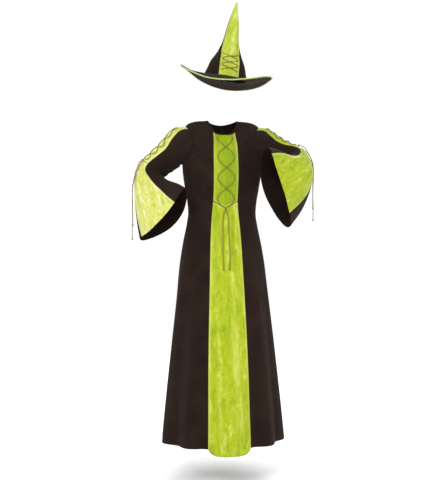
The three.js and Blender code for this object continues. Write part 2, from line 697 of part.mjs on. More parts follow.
function sleeveParts(name, dress) {
  const sleeve = sleeveSurface(SLEEVES[name]);
  const side = name === "left" ? -1 : 1;
  const normal = (turn, ring) => normalOf(sleeve.point, turn, ring, 0.005, 0.05, side);
  const grid = (from, to, columns, rings, lift) =>
    rings.map((ring) => {
      const first = from(ring) + SEAM / 2 / sleeve.speed(from(ring), ring);
      const last = to(ring) - SEAM / 2 / sleeve.speed(to(ring), ring);
      return Array.from({ length: columns + 1 }, (_, j) => {
        const turn = mix(first, last, j / columns);
        return sleeve.point(turn, ring).addScaledVector(normal(turn, ring), lift);
      });
    });
  const piece = (from, to, columns, rings) =>
    wallGeometry(grid(from, to, columns, rings, 0), grid(from, to, columns, rings, -WALL));
  const rings = (from, to) =>
    Array.from({ length: SLEEVE_ROWS + 1 }, (_, i) => mix(from, to, i / SLEEVE_ROWS));
  const upperArm = rings(0, ELBOW_SEAM);
  const bell = rings(ELBOW_SEAM, CUFF_RING);
  const whole = [...upperArm, ...bell.slice(1)];
  const split = SEAM / 2 / sleeve.point(0.4, ELBOW_SEAM).distanceTo(sleeve.point(0.4, ELBOW_SEAM + 1));
  const upper = [...upperArm.slice(0, -1), ELBOW_SEAM - split];
  const lower = [ELBOW_SEAM + split, ...bell.slice(1)];
  const { stripFront, stripBack } = sleeve;
  const front = piece(() => TURN_START, stripFront, FRONT_COLUMNS, whole);
  const back = piece(stripBack, () => TURN_START + 1, BACK_COLUMNS, whole);
  const strip = piece(stripFront, stripBack, STRIP_COLUMNS, upper);
  const godet = piece(stripFront, stripBack, GODET_COLUMNS, lower);
  const meshes = [
    meshOf(`sleeve_${name}_front`, cut(front, dress), blackCloth),
    meshOf(`sleeve_${name}_back`, cut(back, dress), blackCloth),
    meshOf(`sleeve_${name}_strip`, cut(strip, dress), limeVelvet),
    meshOf(`sleeve_${name}_godet`, godet, limeVelvet),
  ];
  const hollow = [];
  for (let i = 0; i <= ARMHOLE_ROWS; i += 1) {
    const ring = (i * ARMHOLE_RING * 2) / ARMHOLE_ROWS;
    hollow.push(
      Array.from({ length: ARMHOLE_COLUMNS }, (_, j) => {
        const turn = j / ARMHOLE_COLUMNS;
        return sleeve.point(turn, ring).addScaledVector(normal(turn, ring), -WALL);
      }),
    );
  }
  const stripGrid = grid(stripFront, stripBack, STRIP_COLUMNS, upper, 0);
  const armhole = solidOf(filledGeometry(hollow));
  return { meshes, sleeve, normal, stripGrid, stripRings: upper, armhole };
}

// Laces

// A round cord along a row of points
function cordGeometry(points, steps, sides) {
  const section = new THREE.Shape();
  section.absarc(0, 0, LACE / 2, 0, 2 * Math.PI);
  const path = new THREE.CatmullRomCurve3(points);
  return new THREE.ExtrudeGeometry(section, {
    steps,
    curveSegments: sides / 2,
    bevelEnabled: false,
    extrudePath: path,
  });
}

// Two strands that cross again and again over a panel, joined where one passes over the
// other. place(share, swing, lift) is the point of the panel at a share of the way down,
// swing to the side, moved out by lift.
function lacing(place, swing, halfTurns, steps, gap = LACE_GAP) {
  const strands = [1, -1].map((hand) => {
    const points = Array.from({ length: steps + 1 }, (_, i) => {
      const phase = (i / steps) * halfTurns * Math.PI;
      const aside = hand * swing * Math.cos(phase);
      const crossing = Math.floor(phase / Math.PI);
      const over = crossing % 2 === 0 ? hand > 0 : hand < 0;
      const near = Math.exp(-((aside / (LACE * LACE_BUMP)) ** 2));
      const lift = LACE / 2 + gap + (over ? LACE * LACE_OVER * near : 0);
      return place(i / steps, aside, lift);
    });
    return solidOf(cordGeometry(points, steps, LACED_SIDES));
  });
  return geometryOf(strands[0].add(strands[1]));
}

// The free ends of the laces, each a cord along its own route
function laceEnds() {
  return Object.entries(LACE_ENDS).map(([name, rows]) => {
    const points = rows.map((row) => vector(...row));
    const length = new THREE.CatmullRomCurve3(points).getLength();
    const steps = Math.round(length / FREE_CORD_STEP);
    return meshOf(name, cordGeometry(points, steps, FREE_SIDES), laceCord);
  });
}

// A knot resting on the cloth at a point
function knot(name, point, out) {
  const geometry = new THREE.SphereGeometry(KNOT, KNOT_SIDES, KNOT_ROWS);
  const mesh = meshOf(name, geometry, laceCord);
  mesh.position.copy(point).addScaledVector(out, KNOT + KNOT_GAP);
  return mesh;
}

// The level of the bodice's centre panel at a height, a share across from the middle
function levelAt(height, across) {
  let [high, low] = [NECK, POINT_SEAM];
  while (high - low > 0.1) {
    const middle = (high + low) / 2;
    const lowered = middle - centreDrop(middle, across);
    if (dressCurves.zFront(lowered) > height) high = middle;
    else low = middle;
  }
  return (high + low) / 2;
}

function bodiceLacing() {
  const levels = LEVELS.filter((level) => level >= POINT_SEAM);
  const edge = (hand) => (level) => hand * panelEdge(level);
  const grid = dressGrid(edge(-1), edge(1), CENTRE_COLUMNS, levels, 0, centreDrop);
  const place = (share, aside, lift) => {
    const height = mix(LACE_TOP, LACE_BOTTOM, share);
    const across = aside / centreHalf(height);
    const level = levelAt(height, across);
    const angle = across * panelEdge(level);
    const point = onGrid(grid, (across + 1) / 2, rowOf(levels, level));
    return point.addScaledVector(dressNormal(angle, level), lift);
  };
  const halfTurns = (LACE_TOP - LACE_BOTTOM) / LACE_PITCH;
  return [
    meshOf("bodice_lacing", lacing(place, LACE_SWING, halfTurns, BODICE_LACE_STEPS), laceCord),
    knot("bodice_lace_knot", dressPoint(0, KNOT_LEVEL), dressNormal(0, KNOT_LEVEL)),
  ];
}

function sleeveLacing(name, { sleeve, normal, stripGrid, stripRings }) {
  const middle = (ring) => (sleeve.stripFront(ring) + sleeve.stripBack(ring)) / 2;
  const place = (share, aside, lift) => {
    const ring = mix(SLEEVE_LACE.from, SLEEVE_LACE.to, share);
    const turn = middle(ring) + aside / sleeve.speed(middle(ring), ring);
    const front = sleeve.stripFront(ring);
    const across = (turn - front) / (sleeve.stripBack(ring) - front);
    const point = onGrid(stripGrid, across, rowOf(stripRings, ring));
    return point.addScaledVector(normal(turn, ring), lift);
  };
  const { swing, crossings, steps } = SLEEVE_LACE;
  const laces = lacing(place, swing, crossings, steps, SLEEVE_LACE_GAP);
  const turn = middle(SLEEVE_LACE.knot);
  const at = onGrid(stripGrid, 0.5, rowOf(stripRings, SLEEVE_LACE.knot));
  return [
    meshOf(`sleeve_${name}_lacing`, laces, laceCord),
    knot(`sleeve_${name}_lace_knot`, at, normal(turn, SLEEVE_LACE.knot)),
  ];
}

// The hat, in its own frame: up from the middle of the crown's base

const crownRadius = curveOf(CROWN_RINGS, "up", "radius");
const crownLime = curveOf(CROWN_RINGS, "up", "lime");

const crownPoint = (angle, up) =>
  vector(crownRadius(up) * Math.sin(angle), -crownRadius(up) * Math.cos(angle), up + CROWN_SEAT);
const crownNormal = (angle, up) => normalOf(crownPoint, angle, up, 0.01, 1, 1);

function crownGrid(from, to, columns, lift) {
  return CROWN_RINGS.map(({ up }) => {
    const half = SEAM / 2 / crownRadius(up);
    return Array.from({ length: columns + 1 }, (_, j) => {
      const angle = mix(from(up) + half, to(up) - half, j / columns);
      return crownPoint(angle, up).addScaledVector(crownNormal(angle, up), lift);
    });
  });
}

const crownPanel = (from, to, columns) =>
  wallGeometry(crownGrid(from, to, columns, 0), crownGrid(from, to, columns, -WALL));

const brimEdge = curveOf(BRIM_EDGE, "angle", "up");

// The height of the brim at a distance from the hat's middle
function brimHeight(angle, distance) {
  const share = Math.max(0, (distance - CROWN_RADIUS) / (BRIM_RADIUS - CROWN_RADIUS));
  const degrees = THREE.MathUtils.euclideanModulo(angle + 99, 360) - 99;
  return brimEdge(degrees) * share ** BRIM_CURL;
}

function brimPoint(angle, distance, lift) {
  const turn = radians(angle);
  const height = brimHeight(angle, distance) + lift;
  return vector(distance * Math.sin(turn), -distance * Math.cos(turn), height);
}

function brimPieces() {
  const places = Array.from({ length: BRIM_COLUMNS }, (_, i) => (i * 360) / BRIM_COLUMNS);
  const distances = [BRIM_HOLE];
  for (let i = 0; i <= BRIM_ROWS; i += 1) {
    distances.push(mix(CROWN_RADIUS, BRIM_RADIUS, i / BRIM_ROWS));
  }
  const cloth = places.map((angle) => [
    ...distances.map((distance) => brimPoint(angle, distance, BRIM_WALL / 2)),
    ...distances.toReversed().map((distance) => brimPoint(angle, distance, -BRIM_WALL / 2)),
  ]);
  const piping = places.map((angle) => {
    const turn = radians(angle);
    const height = brimHeight(angle, BRIM_RADIUS);
    return Array.from({ length: PIPING_SIDES }, (_, j) => {
      const round = (j / PIPING_SIDES) * 2 * Math.PI;
      const distance = BRIM_RADIUS + SEAM + PIPING + PIPING * Math.cos(round);
      const up = height + PIPING * Math.sin(round);
      return vector(distance * Math.sin(turn), -distance * Math.cos(turn), up);
    });
  });
  return [
    meshOf("hat_brim", hoopGeometry(cloth), blackCloth),
    meshOf("hat_piping", hoopGeometry(piping), limePiping),
  ];
}

function hatPieces() {
  const edge = (up) => radians(crownLime(up));
  const minus = (up) => -edge(up);
  const grid = crownGrid(minus, edge, CROWN_FRONT_COLUMNS, 0);
  const rows = CROWN_RINGS.map(({ up }) => up);
  const place = (share, aside, lift) => {
    const up = mix(HAT_LACE.top, HAT_LACE.bottom, share);
    const angle = Math.asin(aside / crownRadius(up));
    const point = onGrid(grid, (angle / edge(up) + 1) / 2, rowOf(rows, up));
    return point.addScaledVector(crownNormal(angle, up), lift);
  };
  const hat = new THREE.Group();
  hat.position.set(HAT_PLACE.x, HAT_PLACE.y, HAT_PLACE.z);
  hat.rotation.set(radians(HAT_PLACE.pitch), radians(HAT_PLACE.roll), 0);
  hat.add(
    meshOf("hat_crown_front", crownPanel(minus, edge, CROWN_FRONT_COLUMNS), limeVelvet),
    meshOf("hat_crown_left", crownPanel(edge, () => Math.PI, CROWN_SIDE_COLUMNS), blackCloth),
    meshOf("hat_crown_right", crownPanel(() => -Math.PI, minus, CROWN_SIDE_COLUMNS), blackCloth),
    ...brimPieces(),
    meshOf("hat_lacing", lacing(place, HAT_LACE.swing, HAT_LACE.crossings, HAT_LACE.steps), laceCord),
  );
  return hat;
}

const group = new THREE.Group();
const dress = dressFilled();
const sleeves = { right: sleeveParts("right", dress), left: sleeveParts("left", dress) };
const armholes = { right: sleeves.right.armhole, left: sleeves.left.armhole };
group.add(...dressPanels(armholes), neckBinding(), ...bodiceLacing());
for (const name of ["right", "left"]) {
  group.add(...sleeves[name].meshes, ...sleeveLacing(name, sleeves[name]));
}
group.add(...laceEnds(), hatPieces());

export default group;
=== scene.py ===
# %% [markdown]
# # A witch costume, worn
#
# This lesson builds the look of a long witch's dress with laced bell sleeves, and of the
# pointed hat that goes with it. The solids of the costume come first, from the frame, and
# each one is then replaced by a finer piece of cloth or cord that has the same form.
#
# The frame is read before anything else, because every new piece is placed against it.

# %% Open the frame
import math

import bmesh
import bpy
import numpy as np
from mathutils import Matrix, Vector


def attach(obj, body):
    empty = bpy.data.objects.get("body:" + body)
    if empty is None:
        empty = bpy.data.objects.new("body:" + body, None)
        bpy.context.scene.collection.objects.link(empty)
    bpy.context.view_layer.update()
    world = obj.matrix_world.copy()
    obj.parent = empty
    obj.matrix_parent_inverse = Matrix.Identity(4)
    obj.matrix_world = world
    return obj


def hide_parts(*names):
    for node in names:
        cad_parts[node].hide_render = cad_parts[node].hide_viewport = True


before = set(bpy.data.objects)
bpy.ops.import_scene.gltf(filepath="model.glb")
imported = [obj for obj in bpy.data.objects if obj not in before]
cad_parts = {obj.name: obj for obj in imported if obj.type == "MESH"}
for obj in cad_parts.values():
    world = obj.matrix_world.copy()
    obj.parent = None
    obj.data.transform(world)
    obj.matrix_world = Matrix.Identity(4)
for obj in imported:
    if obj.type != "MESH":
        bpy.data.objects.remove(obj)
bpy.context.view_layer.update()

MM = 0.001
print("solids", len(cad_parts))

# %% [markdown]
# ## The camera
#
# The camera stands four metres from the costume at the height of its hips, turned nine
# degrees, so the costume's own right side comes a little nearer. It is made early because the
# cords are checked against what it sees.

# %% Camera
CAMERA_PLACE = (-0.6346, -3.9493, -0.504)
CAMERA_TURN = -9
CAMERA_LENS = 66.67
CAMERA_SENSOR = 36

camera = bpy.data.objects.new("camera", bpy.data.cameras.new("camera"))
bpy.context.scene.collection.objects.link(camera)
camera.location = CAMERA_PLACE
camera.rotation_euler = (math.radians(90), 0, math.radians(CAMERA_TURN))
camera.data.sensor_fit = "VERTICAL"
camera.data.sensor_height = CAMERA_SENSOR
camera.data.lens = CAMERA_LENS
bpy.context.scene.camera = camera
print("camera at", CAMERA_PLACE)

# %% [markdown]
# ## Reading a table smoothly
#
# A dressmaker works from a few measures: how wide the dress is at the bust, the waist, the
# hips and the hem. The tables in this lesson hold such measures in millimetres, and this
# helper reads any column of a table at any height, with a smooth curve between the rows.

# %% Smooth tables
def curve_of(xs, ys):
    """A smooth reading of ys along xs, straight beyond both ends."""
    xs = np.array(xs, float)
    ys = np.array(ys, float)
    if xs[0] > xs[-1]:
        xs = xs[::-1]
        ys = ys[::-1]
    gap = np.diff(xs)
    secant = np.diff(ys) / gap
    slope = np.concatenate([secant[:1], np.zeros(len(xs) - 2), secant[-1:]])
    slope[1:-1] = (secant[:-1] * gap[1:] + secant[1:] * gap[:-1]) / (gap[1:] + gap[:-1])

    def read(at):
        at = np.asarray(at, float)
        i = np.clip(np.searchsorted(xs, at) - 1, 0, len(xs) - 2)
        t = (at - xs[i]) / gap[i]
        inside = np.clip(t, 0, 1)
        square = inside**2
        cube = inside**3
        value = (
            ys[i] * (2 * cube - 3 * square + 1)
            + slope[i] * gap[i] * (cube - 2 * square + inside)
            + ys[i + 1] * (3 * square - 2 * cube)
            + slope[i + 1] * gap[i] * (cube - square)
        )
        before = np.minimum(t, 0) * gap[i] * slope[i]
        after = np.maximum(t - 1, 0) * gap[i] * slope[i + 1]
        return value + before + after

    return read


def columns_of(header, rows):
    """One smooth curve for each named column, read along the first one."""
    names = header.split()
    along = [row[0] for row in rows]
    return {
        name: curve_of(along, [row[k + 1] for row in rows])
        for k, name in enumerate(names[1:])
    }


def smooth(start, end, at):
    """0 up to the start, 1 from the end on, and an even rise between them."""
    t = np.clip((np.asarray(at, float) - start) / (end - start), 0, 1)
    return t * t * (3 - 2 * t)


def apart(a, b, turn):
    """How far apart two places are on a circle, the short way round."""
    d = np.abs(a - b) % turn
    return np.minimum(d, turn - d)


print("half way between 0 and 10 is", float(curve_of([0, 1], [0, 10])(0.5)))

# %% [markdown]
# ## The form of the dress
#
# The dress is one smooth surface that is later cut into its panels. Each ring of the table
# gives the half width to the side, the depth to the front and back, and the height of the
# ring at the front, the side and the back, because the upper rings tip over the shoulders.
# The skirt hangs in soft folds that begin below the hips and grow towards the hem.

# %% The dress as a surface
NECK = 27
HEM = -1395
POINT_SEAM = -333
POINT_DROP = 31
PANEL_HEM_DROP = 28
SEAM = 0.3
FOLD_START = -430
FOLD_GROWTH = 0.8
WAIST = -385
POINT_REACH = 120
HEM_ROUND_START = -1270
HEM_ROUND_POWER = 5
SHOULDER_TIP = 1.7
NECK_ROUND = 1.7
NECK_ROUND_FROM = -60

DRESS = columns_of(
    "level side front back z_front z_side z_back",
    [
        (NECK, 78, 72, 66, -40, 30, 12),
        (10, 116, 84, 78, -56, 27, -6),
        (-15, 152, 95, 88, -74, 16, -35),
        (-60, 174, 105, 97, -102, -22, -72),
        (-100, 179, 112, 102, -128, -88, -108),
        (-150, 180, 119, 105, -160, -150, -150),
        (-215, 176, 125, 104, -216, -215, -215),
        (-275, 167, 117, 98, -275, -275, -275),
        (POINT_SEAM, 157, 104, 94, -333, -333, -333),
        (WAIST, 153, 99, 95, WAIST, WAIST, WAIST),
        (-441, 161, 106, 107, -441, -441, -441),
        (-504, 174, 117, 121, -504, -504, -504),
        (-590, 188, 132, 137, -590, -590, -590),
        (-700, 200, 149, 154, -700, -700, -700),
        (-830, 214, 168, 174, -830, -830, -830),
        (-980, 230, 187, 193, -980, -980, -980),
        (-1270, 259, 219, 223, -1270, -1270, -1270),
        (HEM, 270, 231, 234, HEM, HEM, HEM),
    ],
)

# angle from the front in degrees, out at the hem, spread in degrees, level where it begins
SKIRT_FOLDS = [
    (0, 7, 11, -700),
    (25, -13, 7, -520),
    (41, 13, 9, -560),
    (60, -13, 8, -640),
    (78, 12, 9, -500),
    (97, -14, 8, -600),
    (117, 15, 10, -540),
    (139, -13, 9, -660),
    (160, 12, 9, -520),
    (181, -12, 8, -600),
    (203, 14, 10, -560),
    (224, -13, 8, -620),
    (245, 13, 9, -520),
    (265, -13, 8, -680),
    (284, 12, 9, -540),
    (303, -13, 8, -600),
    (320, 12, 8, -560),
    (335, -11, 6, -520),
]

centre_half = curve_of(
    [NECK, -60, -215, POINT_SEAM, -441, -700, -980, HEM],
    [50, 54, 56, 56, 65, 78, 89, 97],
)


def skirt_fold(angle, level):
    """How far the soft folds of the skirt stand out."""
    out = 0
    for at, height, spread, top in SKIRT_FOLDS:
        off = apart(np.degrees(angle), at, 360) / spread
        grown = np.maximum(0, (top - level) / (top - HEM))
        out = out + height * np.exp(-off * off) * grown**FOLD_GROWTH
    return np.where(level < FOLD_START, out, 0)


def dress_point(angle, level):
    """A point of the dress. The angle is from the front, and the level names the ring."""
    sin = np.sin(angle)
    cos = np.cos(angle)
    front = cos > 0
    ends = np.where(front, DRESS["z_front"](level), DRESS["z_back"](level))
    tip = SHOULDER_TIP + np.where(front, NECK_ROUND * smooth(NECK_ROUND_FROM, NECK, level), 0)
    height = ends + (DRESS["z_side"](level) - ends) * np.abs(sin) ** tip
    depth = np.where(front, DRESS["front"](level), DRESS["back"](level))
    fold = skirt_fold(angle, level)
    return np.stack(
        [(DRESS["side"](level) + fold) * sin, -(depth + fold) * cos, height], axis=-1
    )


def panel_edge(level):
    """The angle at which the lime panel ends and the black one begins."""
    return np.arcsin(centre_half(level) / DRESS["side"](level))


def centre_drop(level, across):
    """How much lower the lime panels lie than their row: the waist's point, the round hem."""
    near = np.maximum(0, 1 - np.abs(level - POINT_SEAM) / POINT_REACH)
    pointed = POINT_DROP * near * near * (3 - 2 * near) * (1 - np.abs(across))
    rounded = 1 - np.abs(across) ** HEM_ROUND_POWER
    hem = PANEL_HEM_DROP * smooth(HEM_ROUND_START, HEM, level) * rounded
    return pointed + hem


waist = dress_point(np.linspace(-np.pi, np.pi, 361), np.full(361, WAIST))
waist_round = np.linalg.norm(np.diff(waist, axis=0), axis=1).sum()
print("waist round", round(float(waist_round)), "mm")

# %% [markdown]
# ## The form of a sleeve
#
# Each sleeve is bent at its elbow. A ring of the table has a point on the inner side, a point
# on the outer side, the width between its other two sides, the way that its front looks,
# and the two places, in turns round the ring, between which the lime piece is let in. From
# the elbow the rings widen into a bell, and the bell has its own soft waves.

# %% The sleeves as surfaces
ELBOW_SEAM = 5
CUFF_RING = 10
SLEEVE_HEADER = "ring ix iy iz ox oy oz fx fy fz width strip_front strip_back swell"
SLEEVE_TABLES = {
    "right": [
        (0, -112, 4, -158, -108, 4, -16, 0, -1, 0, 140, 0.41, 0.59, 0),
        (1, -187, 5, -168, -170, 7, 4, -0.05, -1, 0, 148, 0.4, 0.585, 0),
        (2, -188, 9, -173, -225, 22, -14, -0.1, -0.99, 0.05, 142, 0.34, 0.53, 0),
        (3, -194, 17, -177, -273, 46, -67, -0.2, -0.97, 0.1, 130, 0.295, 0.485, 0),
        (4, -221, 31, -193, -315, 70, -112, -0.3, -0.94, 0.15, 120, 0.29, 0.48, 0),
        (5, -246, 41, -209, -352, 90, -150, -0.35, -0.92, 0.2, 116, 0.285, 0.475, 0),
        (6, -258, 36, -219, -376, 93, -188, -0.39, -0.88, 0.25, 118, 0.255, 0.47, 4),
        (7, -256, 15, -229, -386, 71, -251, -0.39, -0.87, 0.3, 130, 0.21, 0.465, 10),
        (8, -238, -28, -243, -384, 35, -347, -0.47, -0.85, 0.25, 145, 0.166, 0.455, 24),
        (9, -208, -83, -257, -377, -1, -433, -0.47, -0.88, 0.1, 158, 0.152, 0.44, 42),
        (10, -180, -139, -280, -369, -37, -500, -0.44, -0.89, 0.1, 168, 0.144, 0.425, 58),
    ],
    "left": [
        (0, 112, -4, -158, 108, -4, -16, 0, -1, 0, 140, 0.41, 0.59, 0),
        (1, 187, -5, -168, 172, -3, 4, -0.02, -1, 0, 148, 0.4, 0.585, 0),
        (2, 188, -10, -173, 213, -2, -8, 0, -1, 0.1, 142, 0.35, 0.54, 0),
        (3, 193, -16, -177, 250, -6, -36, 0.05, -0.97, 0.25, 130, 0.32, 0.51, 0),
        (4, 215, -30, -180, 292, -10, -63, 0.11, -0.93, 0.35, 120, 0.32, 0.51, 0),
        (5, 240, -48, -172, 349, -10, -92, 0.17, -0.85, 0.5, 116, 0.33, 0.52, 0),
        (6, 252, -76, -157, 383, -17, -126, 0.23, -0.77, 0.6, 118, 0.27, 0.505, 2),
        (7, 249, -115, -142, 398, -40, -192, 0.4, -0.79, 0.46, 130, 0.173, 0.48, 6),
        (8, 228, -153, -124, 385, -76, -266, 0.48, -0.85, 0.2, 145, 0.09, 0.42, 16),
        (9, 192, -192, -109, 339, -120, -362, 0.36, -0.93, 0.05, 158, 0.085, 0.375, 28),
        (10, 157, -232, -107, 274, -155, -445, 0.29, -0.96, 0, 168, 0.085, 0.35, 38),
    ],
}
UNDERARM = -0.25
TURN_STEP = 0.01
RING_STEP = 0.1

# turn, out at the cuff, spread in turns
BELL_FOLDS = [
    (0.14, -5, 0.04),
    (0.27, 8, 0.06),
    (0.42, -6, 0.04),
    (0.55, 8, 0.05),
    (0.68, -7, 0.05),
    (0.82, 7, 0.06),
]


def length_of(v):
    return np.linalg.norm(v, axis=-1, keepdims=True)


def sleeve_point(table, turn, ring):
    """A point of a sleeve, by turns round it and by its ring."""
    def place(letter, at):
        return np.stack([table[letter + axis](at) for axis in "xyz"], axis=-1)

    def centre(at):
        return (place("i", at) + place("o", at)) / 2

    middle = centre(ring)
    arm = place("i", ring) - middle
    face = place("f", ring)
    face = face / length_of(face)
    along = centre(ring + RING_STEP) - centre(ring - RING_STEP)
    along = along / length_of(along)
    bell = smooth(ELBOW_SEAM, CUFF_RING, ring)
    fold = 0
    for at, out, spread in BELL_FOLDS:
        fold = fold + out * bell * np.exp(-((apart(turn, at, 1) / spread) ** 2))
    cos = np.cos(turn * 2 * np.pi)
    sin = np.sin(turn * 2 * np.pi)
    half = table["width"](ring) / 2
    return (
        middle
        + arm * (cos * (1 + fold / length_of(arm)[..., 0]))[..., None]
        + face * (sin * (half + fold))[..., None]
        + along * (table["swell"](ring) * sin**2)[..., None]
    )


def turn_length(table, turn, ring):
    """The millimetres to a whole turn round the sleeve, at the pace of this place."""
    ahead = sleeve_point(table, turn + TURN_STEP, ring)
    behind = sleeve_point(table, turn - TURN_STEP, ring)
    return length_of(ahead - behind)[..., 0] / (2 * TURN_STEP)


SLEEVES = {name: columns_of(SLEEVE_HEADER, rows) for name, rows in SLEEVE_TABLES.items()}
print("sleeves", list(SLEEVES))

# %% [markdown]
# ## Meshes of cloth and cord
#
# Cloth is laid out as a grid of points. Rows run down the piece and columns run across it,
# so the same grid gives the surface, its outward direction and the lengths that a cutter
# would measure. The grid also carries those lengths as its texture coordinates, which keeps
# the nap of the velvet running down every piece, whichever way the sleeve bends.

# %% Grids
CLOTH_THICK = 1.2
CREASE_END = 0.12


def outward(points, side):
    """The way out of the cloth at each point of a grid."""
    down = np.gradient(points, axis=0)
    across = np.gradient(points, axis=1)
    normal = np.cross(down, across) * side
    return normal / np.maximum(length_of(normal), 1e-9)


def measured(points):
    """Metres across each row from its middle, and metres down from the first row."""
    steps = length_of(np.diff(points, axis=1))[..., 0]
    across = np.concatenate([np.zeros((len(points), 1)), np.cumsum(steps, axis=1)], axis=1)
    across = across - across[:, -1:] / 2
    middle = points[:, points.shape[1] // 2]
    steps = length_of(np.diff(middle, axis=0))[..., 0]
    down = np.concatenate([[0], np.cumsum(steps)])
    return across, np.repeat(down[:, None], points.shape[1], axis=1)


def mesh_object(name, vertices, faces, material, texture, marks=None):
    """A smooth piece, with its lengths as texture and its marks kept on its points."""
    mesh = bpy.data.meshes.new(name)
    mesh.from_pydata([tuple(v) for v in vertices * MM], [], faces)
    mesh.materials.append(material)
    mesh.shade_smooth()
    corners = np.empty(len(mesh.loops), dtype=np.int32)
    mesh.loops.foreach_get("vertex_index", corners)
    layer = mesh.uv_layers.new(name="cut")
    layer.data.foreach_set("uv", (texture[corners] * MM).astype(np.float32).ravel())
    for key, values in (marks or {}).items():
        attribute = mesh.attributes.new(key, "FLOAT", "POINT")
        attribute.data.foreach_set("value", values.astype(np.float32).ravel())
    piece = bpy.data.objects.new(name, mesh)
    bpy.context.scene.collection.objects.link(piece)
    return piece


def cloth_object(name, points, material, side, marks):
    """A thin shell whose outer face is the grid."""
    rows, columns = points.shape[:2]
    across, down = measured(points)
    faces = []
    for i in range(rows - 1):
        for j in range(columns - 1):
            a = i * columns + j
            quad = (a, a + columns, a + columns + 1, a + 1)
            faces.append(quad if side > 0 else quad[::-1])
    texture = np.stack([across, -down], axis=-1).reshape(-1, 2)
    piece = mesh_object(name, points.reshape(-1, 3), faces, material, texture, marks)
    shell = piece.modifiers.new("cloth", "SOLIDIFY")
    shell.thickness = CLOTH_THICK * MM
    shell.offset = -1
    return piece


def edge_distance(points, ends=""):
    """Millimetres to the nearest seam: the two sides, and an end where it is named."""
    across, down = measured(points)
    near = np.minimum(across - across[:, :1], across[:, -1:] - across)
    if "top" in ends:
        near = np.minimum(near, down)
    if "bottom" in ends:
        near = np.minimum(near, down[-1:] - down)
    return near


def creases(across, down, table):
    """Soft troughs and ridges. Each runs from one place on the piece to another."""
    out = np.zeros_like(across)
    for x0, y0, x1, y1, height, wide in table:
        run = np.array([x1 - x0, y1 - y0], float)
        t = ((across - x0) * run[0] + (down - y0) * run[1]) / (run @ run)
        t = np.clip(t, 0, 1)
        off = np.hypot(across - x0 - t * run[0], down - y0 - t * run[1])
        rise = np.sin(np.pi * (CREASE_END + (1 - 2 * CREASE_END) * t))
        out += height * np.exp(-((off / wide) ** 2)) * rise
    return out


# %% [markdown]
# Cord is a tube with a shallow twist, three strands laid round each other. The tube is made
# from rings of points that are carried along the route without turning on themselves.

# %% Cords
CORD_SIDES = 12
CORD_TWIST = 9
CORD_RADIUS = 1.8
CORD_STEP = 2.2
STRANDS = 3
STRAND_DEPTH = 0.1
ROUTE_PARTS = 24
# A direction along which no cord starts, from which the first ring is turned
START_SIDE = (0.3, 0.2, 1.0)


def route_of(points):
    """The smooth curve through some points, cut into even steps."""
    points = np.array(points, float)
    padded = np.concatenate(
        [[2 * points[0] - points[1]], points, [2 * points[-1] - points[-2]]]
    )
    fine = []
    for i in range(len(points) - 1):
        a, b, c, d = padded[i : i + 4]
        for t in np.linspace(0, 1, ROUTE_PARTS, endpoint=False):
            fine.append(
                0.5 * (2 * b + (c - a) * t + (2 * a - 5 * b + 4 * c - d) * t * t
                       + (3 * b - a - 3 * c + d) * t**3)
            )
    fine.append(points[-1])
    fine = np.array(fine)
    run = np.concatenate([[0], np.cumsum(length_of(np.diff(fine, axis=0))[..., 0])])
    count = int(round(run[-1] / CORD_STEP))
    at = np.linspace(0, run[-1], count + 1)
    return np.stack([np.interp(at, run, fine[:, k]) for k in range(3)], axis=-1)


def tube_parts(route, radius, closed):
    """Vertices, faces and texture of a twisted tube along a route."""
    count = len(route)
    ahead = np.roll(route, -1, axis=0) - np.roll(route, 1, axis=0)
    if not closed:
        ahead[0] = route[1] - route[0]
        ahead[-1] = route[-1] - route[-2]
    ahead = ahead / length_of(ahead)
    first = np.cross(ahead[0], START_SIDE)
    side = first / np.linalg.norm(first)
    run = np.concatenate([[0], np.cumsum(length_of(np.diff(route, axis=0))[..., 0])])
    vertices = []
    texture = []
    for i in range(count):
        side = side - ahead[i] * (side @ ahead[i])
        side = side / np.linalg.norm(side)
        other = np.cross(ahead[i], side)
        for k in range(CORD_SIDES):
            round_ = 2 * math.pi * k / CORD_SIDES
            lay = STRANDS * round_ - 2 * math.pi * run[i] / CORD_TWIST
            reach = radius * (1 + STRAND_DEPTH * math.cos(lay)) / (1 + STRAND_DEPTH)
            vertices.append(
                route[i] + reach * (math.cos(round_) * side + math.sin(round_) * other)
            )
            texture.append((radius * round_, run[i]))
    faces = []
    for i in range(count if closed else count - 1):
        beside = ((i + 1) % count) * CORD_SIDES
        for k in range(CORD_SIDES):
            after = (k + 1) % CORD_SIDES
            faces.append(
                (i * CORD_SIDES + k, i * CORD_SIDES + after, beside + after, beside + k)
            )
    if not closed:
        faces.append(tuple(reversed(range(CORD_SIDES))))
        faces.append(tuple((count - 1) * CORD_SIDES + k for k in range(CORD_SIDES)))
    return np.array(vertices), faces, np.array(texture)


def cord_object(name, routes, material, radius=CORD_RADIUS, closed=False):
    """One piece made of one or more twisted cords."""
    vertices = []
    faces = []
    textures = []
    count = 0
    for route in routes:
        points, quads, texture = tube_parts(route, radius, closed)
        faces += [tuple(v + count for v in quad) for quad in quads]
        vertices.append(points)
        textures.append(texture)
        count += len(points)
    return mesh_object(
        name, np.concatenate(vertices), faces, material, np.concatenate(textures)
    )


print("cord of", 2 * CORD_RADIUS, "mm")

# %% [markdown]
# ## Materials
#
# The black is a matt jersey, a very dark brown-black with fine knit ribs. The lime is crushed
# panne velvet: its pile is pressed flat in patches that lie different ways, so it is mottled
# from yellow-green to almost white. It comes in three shades: the hat's is a little paler than
# the dress's, and the right sleeve's is the palest. The cord is an old-gold satin, and the
# piping round the brim is a pale lime satin.
#
# The colours could be painted on as pictures. Here they are worked out by nodes instead,
# because a pattern made from noise stays sharp up close and needs no picture files.

